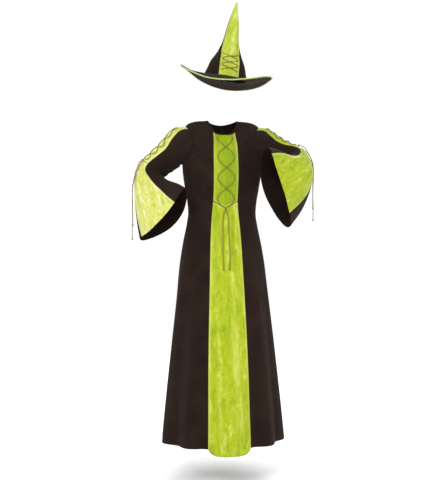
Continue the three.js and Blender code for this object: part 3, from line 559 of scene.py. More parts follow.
# %% Node helpers
def new_material(name):
    material = bpy.data.materials.new(name)
    material.use_nodes = True
    tree = material.node_tree
    shader = tree.nodes["Principled BSDF"]
    return material, tree, shader


def node(tree, kind, **values):
    made = tree.nodes.new(kind)
    for key, value in values.items():
        setattr(made, key, value)
    return made


def link(tree, source, target):
    tree.links.new(source, target)


def cut_coordinates(tree, scale):
    """The piece's own lengths in metres, stretched by a scale each way."""
    where = node(tree, "ShaderNodeUVMap", uv_map="cut")
    mapping = node(tree, "ShaderNodeMapping")
    mapping.inputs["Scale"].default_value = scale
    link(tree, where.outputs["UV"], mapping.inputs["Vector"])
    return mapping.outputs["Vector"]


def noise(tree, vector, scale, detail, roughness=0.55, distortion=0.0):
    made = node(tree, "ShaderNodeTexNoise")
    made.inputs["Scale"].default_value = scale
    made.inputs["Detail"].default_value = detail
    made.inputs["Roughness"].default_value = roughness
    made.inputs["Distortion"].default_value = distortion
    link(tree, vector, made.inputs["Vector"])
    return made.outputs["Fac"]


def ramp(tree, value, stops):
    made = node(tree, "ShaderNodeValToRGB")
    elements = made.color_ramp.elements
    while len(elements) < len(stops):
        elements.new(0.5)
    for element, (position, colour) in zip(elements, stops):
        element.position = position
        element.color = (*colour, 1)
    link(tree, value, made.inputs["Fac"])
    return made.outputs["Color"]


# The Mix node keeps its sockets for colours after those for numbers
MIX_FACTOR, MIX_UNDER, MIX_OVER, MIX_RESULT = 0, 6, 7, 2


def laid_over(tree, factor, under, colour):
    """A plain colour over another, as much as the factor says."""
    made = node(tree, "ShaderNodeMix", data_type="RGBA")
    link(tree, factor, made.inputs[MIX_FACTOR])
    link(tree, under, made.inputs[MIX_UNDER])
    made.inputs[MIX_OVER].default_value = (*colour, 1)
    return made.outputs[MIX_RESULT]


def calculated(tree, operation, a, b):
    made = node(tree, "ShaderNodeMath", operation=operation)
    for socket, value in ((0, a), (1, b)):
        if isinstance(value, (int, float)):
            made.inputs[socket].default_value = value
        else:
            link(tree, value, made.inputs[socket])
    return made.outputs[0]


def ranged(tree, value, low, high, to_low, to_high):
    made = node(tree, "ShaderNodeMapRange", interpolation_type="SMOOTHSTEP")
    for key, number in (
        ("From Min", low),
        ("From Max", high),
        ("To Min", to_low),
        ("To Max", to_high),
    ):
        made.inputs[key].default_value = number
    link(tree, value, made.inputs["Value"])
    return made.outputs["Result"]


def mark(tree, name):
    return node(tree, "ShaderNodeAttribute", attribute_name=name).outputs["Fac"]


def bump(tree, shader, height, strength, distance):
    made = node(tree, "ShaderNodeBump")
    made.inputs["Strength"].default_value = strength
    made.inputs["Distance"].default_value = distance
    link(tree, height, made.inputs["Height"])
    link(tree, made.outputs["Normal"], shader.inputs["Normal"])


# %% Jersey, velvet and satin
def black_jersey():
    material, tree, shader = new_material("black_jersey")
    where = cut_coordinates(tree, (1, 1, 1))
    patches = noise(tree, where, 9, detail=4)
    colour = ramp(
        tree, patches, [(0.3, (0.0085, 0.004, 0.0022)), (0.72, (0.0165, 0.0085, 0.0053))]
    )
    link(tree, colour, shader.inputs["Base Color"])
    shader.inputs["Roughness"].default_value = 0.92
    shader.inputs["Specular IOR Level"].default_value = 0.12
    shader.inputs["Sheen Weight"].default_value = 0.04
    shader.inputs["Sheen Roughness"].default_value = 0.6
    shader.inputs["Sheen Tint"].default_value = (0.6, 0.4, 0.32, 1)
    ribs = node(tree, "ShaderNodeTexWave", wave_type="BANDS", bands_direction="X")
    ribs.inputs["Scale"].default_value = 330
    ribs.inputs["Distortion"].default_value = 0.6
    link(tree, where, ribs.inputs["Vector"])
    rows = node(tree, "ShaderNodeTexWave", wave_type="BANDS", bands_direction="Y")
    rows.inputs["Scale"].default_value = 420
    rows.inputs["Distortion"].default_value = 0.8
    link(tree, where, rows.inputs["Vector"])
    knit = calculated(tree, "MULTIPLY", ribs.outputs["Fac"], rows.outputs["Fac"])
    fuzz = noise(tree, where, 260, detail=2)
    bump(tree, shader, calculated(tree, "ADD", knit, fuzz), 0.35, 0.0004)
    return material


SEAM_SHADE = 0.3


def lime_velvet(name, dark, middle, light, mottle_and_painted_light):
    """Crushed velvet with a random mottle; the last argument moves how much of the mottle is
    pale. The pieces' marks add painted highlight and painted shade, in streaks and along the
    seams.
    """
    material, tree, shader = new_material(name)
    where = cut_coordinates(tree, (1, 0.42, 1))
    crushed = noise(tree, where, 34, detail=5, roughness=0.62, distortion=0.9)
    streaks = noise(tree, cut_coordinates(tree, (1, 0.12, 1)), 30, detail=4, distortion=0.4)
    fine = noise(tree, where, 150, detail=3, roughness=0.6, distortion=0.5)
    mixed = calculated(tree, "MULTIPLY", crushed, 0.55)
    mixed = calculated(tree, "ADD", mixed, calculated(tree, "MULTIPLY", streaks, 0.3))
    mixed = calculated(tree, "ADD", mixed, calculated(tree, "MULTIPLY", fine, 0.15))
    colour = ramp(
        tree,
        mixed,
        [(0.39, dark), (0.49, middle), (0.53, middle), (0.61 - mottle_and_painted_light, light)],
    )
    broken = ranged(tree, streaks, 0.38, 0.6, 0.35, 1)
    # Painted highlight where the piece's mark is above 0 and painted shade where it is below,
    # broken by the streaks
    painted_light_amount = calculated(tree, "MULTIPLY", mark(tree, "mottle_and_painted_light"), broken)
    colour = laid_over(tree, ranged(tree, painted_light_amount, 0, 1, 0, 1), colour, light)
    colour = laid_over(tree, ranged(tree, painted_light_amount, -1, 0, 1, 0), colour, dark)
    # A painted highlight along each seam, fading out 16 mm in from it
    edge = ranged(tree, mark(tree, "edge"), 2, 16, 0.6, 0)
    colour = laid_over(tree, calculated(tree, "MULTIPLY", edge, broken), colour, light)
    # Painted shade in the last few millimetres at each seam, where the cloth dips into its trough
    seam = ranged(tree, mark(tree, "edge"), 0.6, 3.2, 0.85, 0)
    colour = laid_over(tree, seam, colour, [SEAM_SHADE * channel for channel in dark])
    link(tree, colour, shader.inputs["Base Color"])
    rough = ranged(tree, crushed, 0.35, 0.65, 0.62, 0.4)
    link(tree, rough, shader.inputs["Roughness"])
    shader.inputs["Specular IOR Level"].default_value = 0.16
    shader.inputs["Sheen Weight"].default_value = 0.14
    shader.inputs["Sheen Roughness"].default_value = 0.35
    shader.inputs["Sheen Tint"].default_value = (0.9, 1.0, 0.3, 1)
    height = calculated(tree, "ADD", calculated(tree, "MULTIPLY", crushed, 1.4), fine)
    bump(tree, shader, height, 0.4, 0.0022)
    return material


def satin(name, dark, light, roughness):
    material, tree, shader = new_material(name)
    where = cut_coordinates(tree, (1, 1, 1))
    worn = noise(tree, where, 120, detail=3)
    link(tree, ramp(tree, worn, [(0.3, dark), (0.7, light)]), shader.inputs["Base Color"])
    shader.inputs["Roughness"].default_value = roughness
    shader.inputs["Specular IOR Level"].default_value = 0.3
    shader.inputs["Sheen Weight"].default_value = 0.06
    threads = node(tree, "ShaderNodeTexWave", wave_type="BANDS", bands_direction="DIAGONAL")
    threads.inputs["Scale"].default_value = 700
    threads.inputs["Distortion"].default_value = 0.5
    link(tree, where, threads.inputs["Vector"])
    bump(tree, shader, threads.outputs["Fac"], 0.3, 0.0003)
    return material


BLACK = black_jersey()
LIME = lime_velvet(
    "lime_velvet", (0.19, 0.28, 0.0025), (0.3, 0.37, 0.006), (0.5, 0.53, 0.11), -0.03
)
HAT_LIME = lime_velvet(
    "lime_velvet_hat", (0.225, 0.305, 0.006), (0.35, 0.42, 0.035), (0.49, 0.52, 0.16), 0.02
)
PALE_LIME = lime_velvet(
    "lime_velvet_pale", (0.35, 0.4, 0.03), (0.52, 0.53, 0.13), (0.63, 0.61, 0.33), 0.04
)
GOLD = satin("lace_cord", (0.12, 0.08, 0.007), (0.26, 0.19, 0.022), 0.55)
PIPING = satin("lime_piping", (0.26, 0.35, 0.06), (0.41, 0.49, 0.19), 0.4)
print("materials", [m.name for m in (BLACK, LIME, HAT_LIME, PALE_LIME, GOLD, PIPING)])

# %% [markdown]
# ## The hanging laces
#
# Two ends of cord hang from the knot at the waist's point, and two from the knot at each
# elbow. Each end leaves its knot, passes over the cloth just under it and then hangs straight
# down. The routes are given in metres, and each ends in a small knot that keeps the cord
# from fraying.

# %% Free lace ends
LACE_ENDS = {
    "bodice_lace_end_right": [
        (-0.0024, -0.1052, -0.3744), (-0.007, -0.104, -0.386), (-0.01, -0.1035, -0.4),
        (-0.012, -0.105, -0.415), (-0.013, -0.107, -0.43), (-0.0135, -0.1095, -0.446),
        (-0.014, -0.1125, -0.462), (-0.0145, -0.1155, -0.48), (-0.015, -0.1185, -0.498),
        (-0.0155, -0.122, -0.517), (-0.016, -0.1255, -0.536), (-0.016, -0.129, -0.556),
        (-0.0155, -0.1325, -0.576), (-0.015, -0.1355, -0.596), (-0.0145, -0.1385, -0.615),
        (-0.0145, -0.1415, -0.634),
    ],
    "bodice_lace_end_left": [
        (0.0025, -0.1052, -0.3743), (0.0075, -0.104, -0.386), (0.01, -0.1035, -0.4),
        (0.011, -0.105, -0.415), (0.0115, -0.107, -0.43), (0.0115, -0.11, -0.446),
        (0.012, -0.1125, -0.462), (0.0125, -0.1155, -0.48), (0.013, -0.119, -0.498),
        (0.014, -0.122, -0.517), (0.015, -0.1255, -0.536), (0.0155, -0.129, -0.556),
        (0.015, -0.1325, -0.576), (0.014, -0.1355, -0.596), (0.013, -0.1385, -0.615),
        (0.0125, -0.141, -0.631),
    ],
    "sleeve_right_lace_end_long": [
        (-0.3583, 0.0437, -0.1479), (-0.368, 0.039, -0.1545), (-0.372, 0.041, -0.1625),
        (-0.3755, 0.0435, -0.1715), (-0.3785, 0.0455, -0.1805), (-0.3825, 0.045, -0.19),
        (-0.386, 0.0435, -0.2005), (-0.3885, 0.0415, -0.213), (-0.392, 0.039, -0.2275),
        (-0.3955, 0.0365, -0.244), (-0.399, 0.0335, -0.261), (-0.4005, 0.0315, -0.28),
        (-0.401, 0.028, -0.301), (-0.401, 0.029, -0.326), (-0.4005, 0.0285, -0.35),
        (-0.4, 0.028, -0.375), (-0.4, 0.028, -0.4), (-0.3995, 0.0285, -0.425),
        (-0.4005, 0.029, -0.45), (-0.401, 0.029, -0.475), (-0.4005, 0.0285, -0.5),
    ],
    "sleeve_right_lace_end_short": [
        (-0.356, 0.0387, -0.1479), (-0.3625, 0.033, -0.1555), (-0.3665, 0.032, -0.164),
        (-0.37, 0.0325, -0.173), (-0.3735, 0.034, -0.1825), (-0.379, 0.032, -0.193),
        (-0.3835, 0.0305, -0.206), (-0.3875, 0.028, -0.2205), (-0.392, 0.025, -0.236),
        (-0.396, 0.022, -0.2535), (-0.3995, 0.019, -0.272), (-0.401, 0.018, -0.292),
        (-0.401, 0.018, -0.316), (-0.4, 0.0145, -0.338), (-0.4, 0.018, -0.365),
        (-0.3995, 0.018, -0.39), (-0.399, 0.0175, -0.415), (-0.399, 0.017, -0.438),
    ],
    "sleeve_left_lace_end_long": [
        (0.352, -0.0345, -0.0772), (0.365, -0.037, -0.0805), (0.372, -0.04, -0.087),
        (0.3775, -0.0435, -0.0955), (0.381, -0.0465, -0.106), (0.387, -0.0505, -0.1155),
        (0.393, -0.054, -0.1275), (0.3975, -0.057, -0.142), (0.4015, -0.059, -0.1565),
        (0.4045, -0.06, -0.1735), (0.4055, -0.06, -0.194), (0.4055, -0.06, -0.216),
        (0.405, -0.06, -0.24), (0.4045, -0.06, -0.265), (0.4045, -0.0595, -0.29),
        (0.405, -0.059, -0.315), (0.406, -0.059, -0.34), (0.4065, -0.059, -0.365),
        (0.406, -0.059, -0.39), (0.4055, -0.059, -0.415),
    ],
    "sleeve_left_lace_end_short": [
        (0.3505, -0.039, -0.0774), (0.362, -0.0475, -0.082), (0.3695, -0.0535, -0.0895),
        (0.3755, -0.0575, -0.099), (0.38, -0.0615, -0.109), (0.3855, -0.0655, -0.1185),
        (0.3905, -0.0685, -0.13), (0.3955, -0.0715, -0.1435), (0.4, -0.074, -0.1575),
        (0.4025, -0.075, -0.175), (0.404, -0.075, -0.195), (0.404, -0.0755, -0.217),
        (0.403, -0.075, -0.242), (0.402, -0.074, -0.266), (0.4015, -0.0735, -0.29),
        (0.401, -0.073, -0.314), (0.401, -0.073, -0.338), (0.401, -0.073, -0.362),
    ],
}


KNOT_STEPS = 90
KNOT_CORD_RADIUS = 1.5
TIP_SIZE = 1.0


def knot_object(name, centre, size, lean=0.0):
    """A small overhand knot: one closed loop of cord that passes through itself."""
    t = np.linspace(0, 2 * np.pi, KNOT_STEPS, endpoint=False)
    loop = np.stack(
        [np.sin(t) + 2 * np.sin(2 * t), np.cos(t) - 2 * np.cos(2 * t), -1.5 * np.sin(3 * t)],
        axis=-1,
    )
    turn = np.array(Matrix.Rotation(lean, 3, "Z") @ Matrix.Rotation(math.radians(90), 3, "X"))
    return cord_object(name, [loop * size @ turn.T + centre], GOLD, KNOT_CORD_RADIUS, closed=True)


pieces = {}


def finished(piece, slot_name, *nodes):
    """Every piece moves with the costume and stands for its solids, which are hidden."""
    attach(piece, "root")
    if nodes:
        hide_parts(*nodes)
    pieces[piece.name] = piece
    return piece


for name, route in LACE_ENDS.items():
    path = route_of(np.array(route) / MM)
    lace = finished(cord_object(f"{name}_cord", [path], GOLD), "lace_cord", name)
    tip = knot_object(f"{name}_tip", path[-1], TIP_SIZE, lean=len(path))
    finished(tip, "lace_cord")

# %% [markdown]
# ## Knots and crossing laces
#
# The lacing is two strands that swing from side to side and pass over each other in turn,
# first one above and then the other. Each strand lies just off the cloth and rises a little
# where it crosses the strand beneath.

# %% Knots
KNOT_SIZE = 1.3
KNOTS = {
    "bodice_lace_knot": (0.0, -106.0, -368.5),
    "sleeve_right_lace_knot": (-353.3, 43.0, -143.9),
    "sleeve_left_lace_knot": (345.8, -35.0, -75.7),
}
for name, centre in KNOTS.items():
    finished(knot_object(f"{name}_cord", np.array(centre), KNOT_SIZE), "lace_cord", name)
print("knots", len(KNOTS))

# %% Lacing
LACE_GAP = 0.6
LACE_BUMP = 1.6
LACE_RISE = 1.7


def strands(place, swing, half_turns, count):
    """The routes of two strands over a panel. place gives a point and its way out."""
    routes = []
    for hand in (1, -1):
        share = np.linspace(0, 1, count)
        phase = share * half_turns * np.pi
        aside = hand * swing * np.cos(phase)
        over = (np.floor(phase / np.pi) % 2 == 0) == (hand > 0)
        near = np.exp(-((aside / (2 * CORD_RADIUS * LACE_BUMP)) ** 2))
        lift = CORD_RADIUS + LACE_GAP + np.where(over, LACE_RISE * CORD_RADIUS * near, 0)
        points, out = place(share, aside)
        routes.append(route_of(points + out * lift[:, None]))
    return routes


def way_out(surface, u, v, steps, side=1):
    """The way out of a surface, from small steps either way along it."""
    across = surface(u + steps[0], v) - surface(u - steps[0], v)
    down = surface(u, v + steps[1]) - surface(u, v - steps[1])
    normal = np.cross(across, down) * side
    return normal / length_of(normal)


LACE_TOP = -51
LACE_BOTTOM = -360
LACE_SWING = 36
LACE_PITCH = 91
BODICE_LACE_STEPS = 160
LEVEL_TRIES = 500
DRESS_STEPS = (0.01, 2)
SLEEVE_STEPS = (0.005, 0.05)
SLEEVE_LACE_FROM = 1.5
SLEEVE_LACE_TO = 4.75
SLEEVE_LACE_SWING = 20
SLEEVE_LACE_TURNS = 4.4
SLEEVE_LACE_STEPS = 140


def bodice_place(share, aside):
    height = LACE_TOP + (LACE_BOTTOM - LACE_TOP) * share
    across = aside / centre_half(height)
    tries = np.linspace(NECK, POINT_SEAM, LEVEL_TRIES)
    level = np.array(
        [
            np.interp(-h, -DRESS["z_front"](tries - centre_drop(tries, a)), tries)
            for h, a in zip(height, across)
        ]
    )
    angle = across * panel_edge(level)
    lowered = level - centre_drop(level, across)
    return dress_point(angle, lowered), way_out(dress_point, angle, lowered, DRESS_STEPS)


def sleeve_place(name):
    table = SLEEVES[name]
    side = -1 if name == "left" else 1

    def surface(turn, ring):
        return sleeve_point(table, turn, ring)

    def place(share, aside):
        ring = SLEEVE_LACE_FROM + (SLEEVE_LACE_TO - SLEEVE_LACE_FROM) * share
        middle = (table["strip_front"](ring) + table["strip_back"](ring)) / 2
        turn = middle + aside / turn_length(table, middle, ring)
        return surface(turn, ring), way_out(surface, turn, ring, SLEEVE_STEPS, side)

    return place


half_turns = (LACE_TOP - LACE_BOTTOM) / LACE_PITCH
bodice = strands(bodice_place, LACE_SWING, half_turns, BODICE_LACE_STEPS)
finished(cord_object("bodice_lacing_cord", bodice, GOLD), "lace_cord", "bodice_lacing")
for name in SLEEVES:
    place = sleeve_place(name)
    laces = strands(place, SLEEVE_LACE_SWING, SLEEVE_LACE_TURNS, SLEEVE_LACE_STEPS)
    piece = cord_object(f"sleeve_{name}_lacing_cord", laces, GOLD)
    finished(piece, "lace_cord", f"sleeve_{name}_lacing")
print("lacings on the bodice and both sleeves")

# %% [markdown]
# ## Where the sleeves meet the dress
#
# A sleeve is sewn into an armhole. The line where the sleeve's surface passes through the
# dress is found first. The sleeve's cloth then starts at that line, and the dress's cloth
# is cut away inside it, so that one hollow opens into the other.

# %% The armholes
from mathutils.bvhtree import BVHTree

SLEEVES_END_ABOVE = -504
ARMHOLE_REACH = 3.0
ARMHOLE_STEP = 0.04
GRID_ANGLES = np.linspace(-np.pi, np.pi, 361)
GRID_LEVELS = np.linspace(NECK, SLEEVES_END_ABOVE, 240)
upper_dress = dress_point(*np.meshgrid(GRID_ANGLES, GRID_LEVELS))
columns = len(GRID_ANGLES)
quads = [
    (i * columns + j, (i + 1) * columns + j, (i + 1) * columns + j + 1, i * columns + j + 1)
    for i in range(len(GRID_LEVELS) - 1)
    for j in range(columns - 1)
]
dress_tree = BVHTree.FromPolygons([Vector(p) for p in upper_dress.reshape(-1, 3)], quads)


def armhole(name):
    """For turns round a sleeve: the ring where it meets the dress, and the hole's line."""
    table = SLEEVES[name]
    turns = np.linspace(UNDERARM, UNDERARM + 1, 241)
    rings = np.arange(ARMHOLE_REACH, -ARMHOLE_STEP / 2, -ARMHOLE_STEP)
    meet = []
    line = []
    for turn in turns:
        points = sleeve_point(table, np.full(len(rings), turn), rings)
        for k in range(len(rings) - 1):
            a = Vector(points[k])
            b = Vector(points[k + 1])
            hit, _, face, far = dress_tree.ray_cast(a, (b - a).normalized(), (b - a).length)
            if hit is None:
                continue
            meet.append(rings[k] - ARMHOLE_STEP * far / (b - a).length)
            i, j = divmod(face, columns - 1)
            corner = upper_dress[i, j]
            base = np.stack([upper_dress[i, j + 1] - corner, upper_dress[i + 1, j] - corner])
            u, v = np.linalg.lstsq(base.T, np.array(hit) - corner, rcond=None)[0]
            line.append((j + u, i + v))
            break
        else:
            meet.append(meet[-1] if meet else 1.0)
            line.append(line[-1] if line else (0, 0))
    line = np.array(line)
    angle = np.interp(line[:, 0], np.arange(columns), GRID_ANGLES)
    level = np.interp(line[:, 1], np.arange(len(GRID_LEVELS)), GRID_LEVELS)
    return turns, np.array(meet), np.stack([angle, level], axis=-1)


ARMHOLES = {name: armhole(name) for name in SLEEVES}
for name, (_, meet, _) in ARMHOLES.items():
    print(name, "rings", meet.min().round(2), "to", meet.max().round(2))


def inside(points, outline):
    """Which points lie inside a closed outline."""
    x, y = points[..., 0], points[..., 1]
    found = np.zeros(x.shape, bool)
    for (x0, y0), (x1, y1) in zip(outline, np.roll(outline, -1, axis=0)):
        if y0 == y1:
            continue
        crosses = (y0 > y) != (y1 > y)
        found ^= crosses & (x < (x1 - x0) * (y - y0) / (y1 - y0) + x0)
    return found


# %% [markdown]
# ## The panels of the dress
#
# The dress is cut in six long pieces: a lime bodice front that ends in a point, a lime skirt
# front below it, two black side fronts and two black backs. Every panel starts as the smooth
# form and then takes its creases. Along each seam the cloth turns under, so
# a narrow trough is left between one panel and the next.

# %% Cutting a panel
SEAM_TURN = 0.9
SEAM_WIDTH = 2.6
SEAM_LEAN = 0.35
TURN_DEPTH = 2.4
HEM_STITCH = 19
STITCH_DEPTH = 0.35
STITCH_WIDTH = 1.6
HEM_FOLD_WIDTH = 2.2
CREASE_DEGREE = 3.1


def dress_levels(top, bottom, step):
    count = int(round((top - bottom) / step))
    return np.linspace(top, bottom, count + 1)


def dress_panel(start, end, columns, levels, drop=None):
    """The grid of a panel between two edges, half a seam in from each."""
    share = np.linspace(0, 1, columns + 1)[None, :]
    level = levels[:, None] + np.zeros_like(share)
    half = SEAM / 2 / DRESS["front"](level)
    first = start(level) + half
    last = end(level) - half
    angle = first + (last - first) * share
    lowered = level - (drop(level, 2 * share - 1) if drop else 0)
    return dress_point(angle, lowered), angle, lowered


def turned_seams(points, ends="", hem=False):
    """The troughs along the seams, and where there is a hem, its stitch line and its fold."""
    relief = -SEAM_TURN * np.exp(-((edge_distance(points, ends) / SEAM_WIDTH) ** 2))
    if hem:
        _, down = measured(points)
        up = down[-1:] - down
        relief -= STITCH_DEPTH * np.exp(-(((up - HEM_STITCH) / STITCH_WIDTH) ** 2))
        relief -= SEAM_TURN * np.exp(-((up / HEM_FOLD_WIDTH) ** 2))
    return relief


def cut_hole(piece, angle, level, line):
    """Cuts an armhole out of a panel and draws the cut edge onto its line."""
    hole = inside(np.stack([angle, level], axis=-1), line).ravel()
    mesh = bmesh.new()
    mesh.from_mesh(piece.data)
    inner = [vertex for vertex in mesh.verts if hole[vertex.index]]
    faces = [face for face in mesh.faces if all(hole[v.index] for v in face.verts)]
    bmesh.ops.delete(mesh, geom=faces, context="FACES")
    edge = dress_point(line[:, 0], line[:, 1])
    for vertex in inner:
        if vertex.is_valid and vertex.link_faces:
            here = np.array(vertex.co) / MM
            vertex.co = Vector(edge[length_of(edge - here)[:, 0].argmin()] * MM)
    mesh.to_mesh(piece.data)
    mesh.free()


def turned_in(points, out):
    """Adds a narrow strip along both side seams, turned down to the inside of the cloth."""
    strips = []
    for edge, inner in ((0, 1), (-1, -2)):
        aside = points[:, edge] - points[:, inner]
        aside = aside / np.maximum(length_of(aside), 1e-9)
        strips.append((points[:, edge] + SEAM_LEAN * aside - TURN_DEPTH * out[:, edge])[:, None])
    return np.concatenate([strips[0], points, strips[1]], axis=1)


def cloth_piece(name, points, relief, cloth, side=1, ends="", mottle_and_painted_light=0, hole=None):
    out = outward(points, side)
    made = turned_in(points + out * relief[..., None], out)
    marks = {
        "edge": np.pad(edge_distance(points, ends), ((0, 0), (1, 1))),
        # This mark carries painted highlight above 0 and painted shade below 0 for the velvet
        "mottle_and_painted_light": np.pad(mottle_and_painted_light + np.zeros(points.shape[:2]), ((0, 0), (1, 1)), "edge"),
    }
    piece = cloth_object(f"{name}_cloth", made, cloth, side, marks)
    if hole is not None:
        cut_hole(piece, *hole)
    finished(piece, "black_cloth" if cloth is BLACK else "lime_velvet", name)


# %% [markdown]
# The creases are written as short tables. For the dress, the first number of each place is
# degrees from the front, and the second is its height in millimetres.

# %% Creases of the dress
# from degrees, from height, to degrees, to height, out, width
BLACK_CREASES = [
    (48, -150, 30, -210, 1.6, 9),
    (62, -178, 40, -262, -1.5, 8),
    (75, -200, 52, -300, 1.3, 9),
    (40, -352, 78, -372, -1.4, 7),
    (34, -385, 70, -402, 1.2, 8),
    (55, -420, 84, -410, -1.2, 8),
    (29, -470, 31, -760, 1.6, 9),
    (47, -520, 52, -900, -2.0, 10),
    (66, -480, 70, -820, 1.8, 9),
    (84, -560, 88, -1010, -1.8, 11),
    (33, -820, 30, -1290, -1.5, 8),
    (56, -900, 51, -1360, 1.8, 9),
    (72, -860, 74, -1350, -1.5, 9),
    (20, -60, 34, -130, 1.2, 9),
    (38, -40, 30, -110, -1.1, 8),
]
BACK_CREASES = [
    (110, -170, 140, -240, 1.6, 10),
    (104, -210, 132, -300, -1.5, 9),
    (122, -360, 168, -352, -1.6, 8),
    (115, -392, 160, -398, 1.4, 9),
    (130, -432, 172, -420, -1.3, 8),
    (108, -500, 112, -860, -1.8, 10),
    (127, -560, 124, -1000, 1.9, 10),
    (148, -480, 152, -900, -1.8, 9),
    (168, -620, 166, -1150, 1.7, 10),
    (118, -900, 121, -1370, 1.6, 9),
    (142, -980, 139, -1360, -1.8, 9),
    (158, -60, 150, -150, 1.1, 10),
    (130, -50, 140, -120, -1.1, 9),
]
LIME_CREASES = [
    (-14, -70, -4, -98, 1.3, 5),
    (13, -74, 3, -100, -1.1, 5),
    (-15, -118, -3, -140, -1.2, 5),
    (15, -122, 5, -146, 1.3, 5),
    (-15, -172, -4, -196, 1.2, 5),
    (14, -168, 2, -190, -1.2, 5),
    (-16, -214, -5, -238, -1.2, 5),
    (15, -222, 4, -246, 1.1, 5),
    (-15, -262, -4, -286, 1.1, 5),
    (15, -268, 5, -292, -1.2, 5),
    (-9, -300, -3, -336, 1.0, 5),
    (9, -304, 3, -338, 1.0, 5),
    (-12, -420, -13, -640, -1.1, 7),
    (8, -450, 10, -820, 1.4, 8),
    (-5, -700, -7, -1100, 1.3, 9),
    (14, -640, 15, -1050, -1.2, 7),
    (-14, -860, -15, -1330, 1.4, 7),
    (3, -900, 4, -1360, -1.3, 9),
    (12, -1060, 12, -1390, 1.3, 7),
]

# Long streaks of painted highlight and painted shade on the lime velvet: pale where the height is
# above 0, darker below.
LIME_PAINTED_LIGHT = [
    (8, -600, 7, -1180, 0.85, 11),
    (9, -1160, 10, -1385, 0.7, 12),
    (11, -400, 7, -640, -0.95, 8),
    (1, -660, -1, -1010, -0.75, 9),
    (-18, -420, -19, -900, 0.5, 8),
    (-13, -480, -13, -700, 0.3, 12),
    (-8, -760, -7, -980, -0.4, 8),
    (-10, -1080, -9, -1380, 0.4, 9),
    (18, -1000, 18, -1380, -0.3, 8),
    (-15, -60, -14, -300, 0.4, 7),
    (6, -110, 5, -260, -0.35, 9),
]


def dress_creases(angle, level, table, hand=1):
    """Reads a table of creases as millimetres. The other side has them mirrored."""
    across = np.degrees(angle) * hand * CREASE_DEGREE
    rows = [
        (a * CREASE_DEGREE, b, c * CREASE_DEGREE, d, out, wide)
        for a, b, c, d, out, wide in table
    ]
    return creases(across, level, rows)


# %% The six panels
left_edge = panel_edge


def right_edge(level):
    return -panel_edge(level)


def at_angle(angle):
    return lambda level: np.full(np.shape(level), angle)


BODICE_LEVELS = dress_levels(NECK, POINT_SEAM + SEAM / 2, 3)
SKIRT_LEVELS = dress_levels(POINT_SEAM - SEAM / 2, HEM, 6)
CENTRE_COLUMNS = 64
SIDE_COLUMNS = 72
BACK_COLUMNS = 80
# name, levels, end that is sewn, painted shade: darker below 0, has a hem
CENTRE_PANELS = [
    # The whole bodice front is darkened with painted shade
    ("bodice_front_centre", BODICE_LEVELS, "bottom", -0.95, False),
    ("skirt_front_centre", SKIRT_LEVELS, "top", 0, True),
]
for name, levels, ends, shade, hem in CENTRE_PANELS:
    points, angle, level = dress_panel(
        right_edge, left_edge, CENTRE_COLUMNS, levels, centre_drop
    )
    relief = turned_seams(points, ends, hem)
    relief += dress_creases(angle, level, LIME_CREASES)
    # The piece's painted shade, with streaks of painted highlight and painted shade on top
    mottle_and_painted_light = shade + dress_creases(angle, level, LIME_PAINTED_LIGHT)
    cloth_piece(name, points, relief, LIME, ends=ends, mottle_and_painted_light=mottle_and_painted_light)

# The rows lie closer together down to the hips, where the armholes are
FINE_DOWN_TO = -440
COARSE_FROM = -446
LONG_LEVELS = np.concatenate(
    [dress_levels(NECK, FINE_DOWN_TO, 4), dress_levels(COARSE_FROM, HEM, 7)]
)
LEFT_SIDE = at_angle(math.pi / 2)
RIGHT_SIDE = at_angle(-math.pi / 2)
LEFT_BACK = at_angle(math.pi)
RIGHT_BACK = at_angle(-math.pi)
LONG_PANELS = [
    ("front_side_left", left_edge, LEFT_SIDE, SIDE_COLUMNS, BLACK_CREASES, 1, "left"),
    ("front_side_right", RIGHT_SIDE, right_edge, SIDE_COLUMNS, BLACK_CREASES, -1, "right"),
    ("back_left", LEFT_SIDE, LEFT_BACK, BACK_COLUMNS, BACK_CREASES, 1, "left"),
    ("back_right", RIGHT_BACK, RIGHT_SIDE, BACK_COLUMNS, BACK_CREASES, -1, "right"),
]
for name, start, end, count, table, hand, arm in LONG_PANELS:
    points, angle, level = dress_panel(start, end, count, LONG_LEVELS)
    relief = turned_seams(points, hem=True) + dress_creases(angle, level, table, hand)
    angle, level = (np.pad(value, ((0, 0), (1, 1)), "edge") for value in (angle, level))
    hole = (angle, level, ARMHOLES[arm][2])
    cloth_piece(name, points, relief, BLACK, hole=hole)

# %% [markdown]
# ## The neck binding
#
# A narrow black binding is folded over the neck edge. It follows the top of all the panels.

# %% Neck binding
BINDING_HEIGHT = 6
BINDING_STEPS = 160
BINDING_SIDES = 14
# A power below 1 makes the fold squarer than a round cord
BINDING_SQUARE = 0.7
BINDING_HALF = 1.5
BINDING_INWARD = 1.0
BINDING_RADIUS = 75
BINDING_SIDE_LENGTH = 1.2


def squared(value):
    return math.copysign(abs(value) ** BINDING_SQUARE, value)


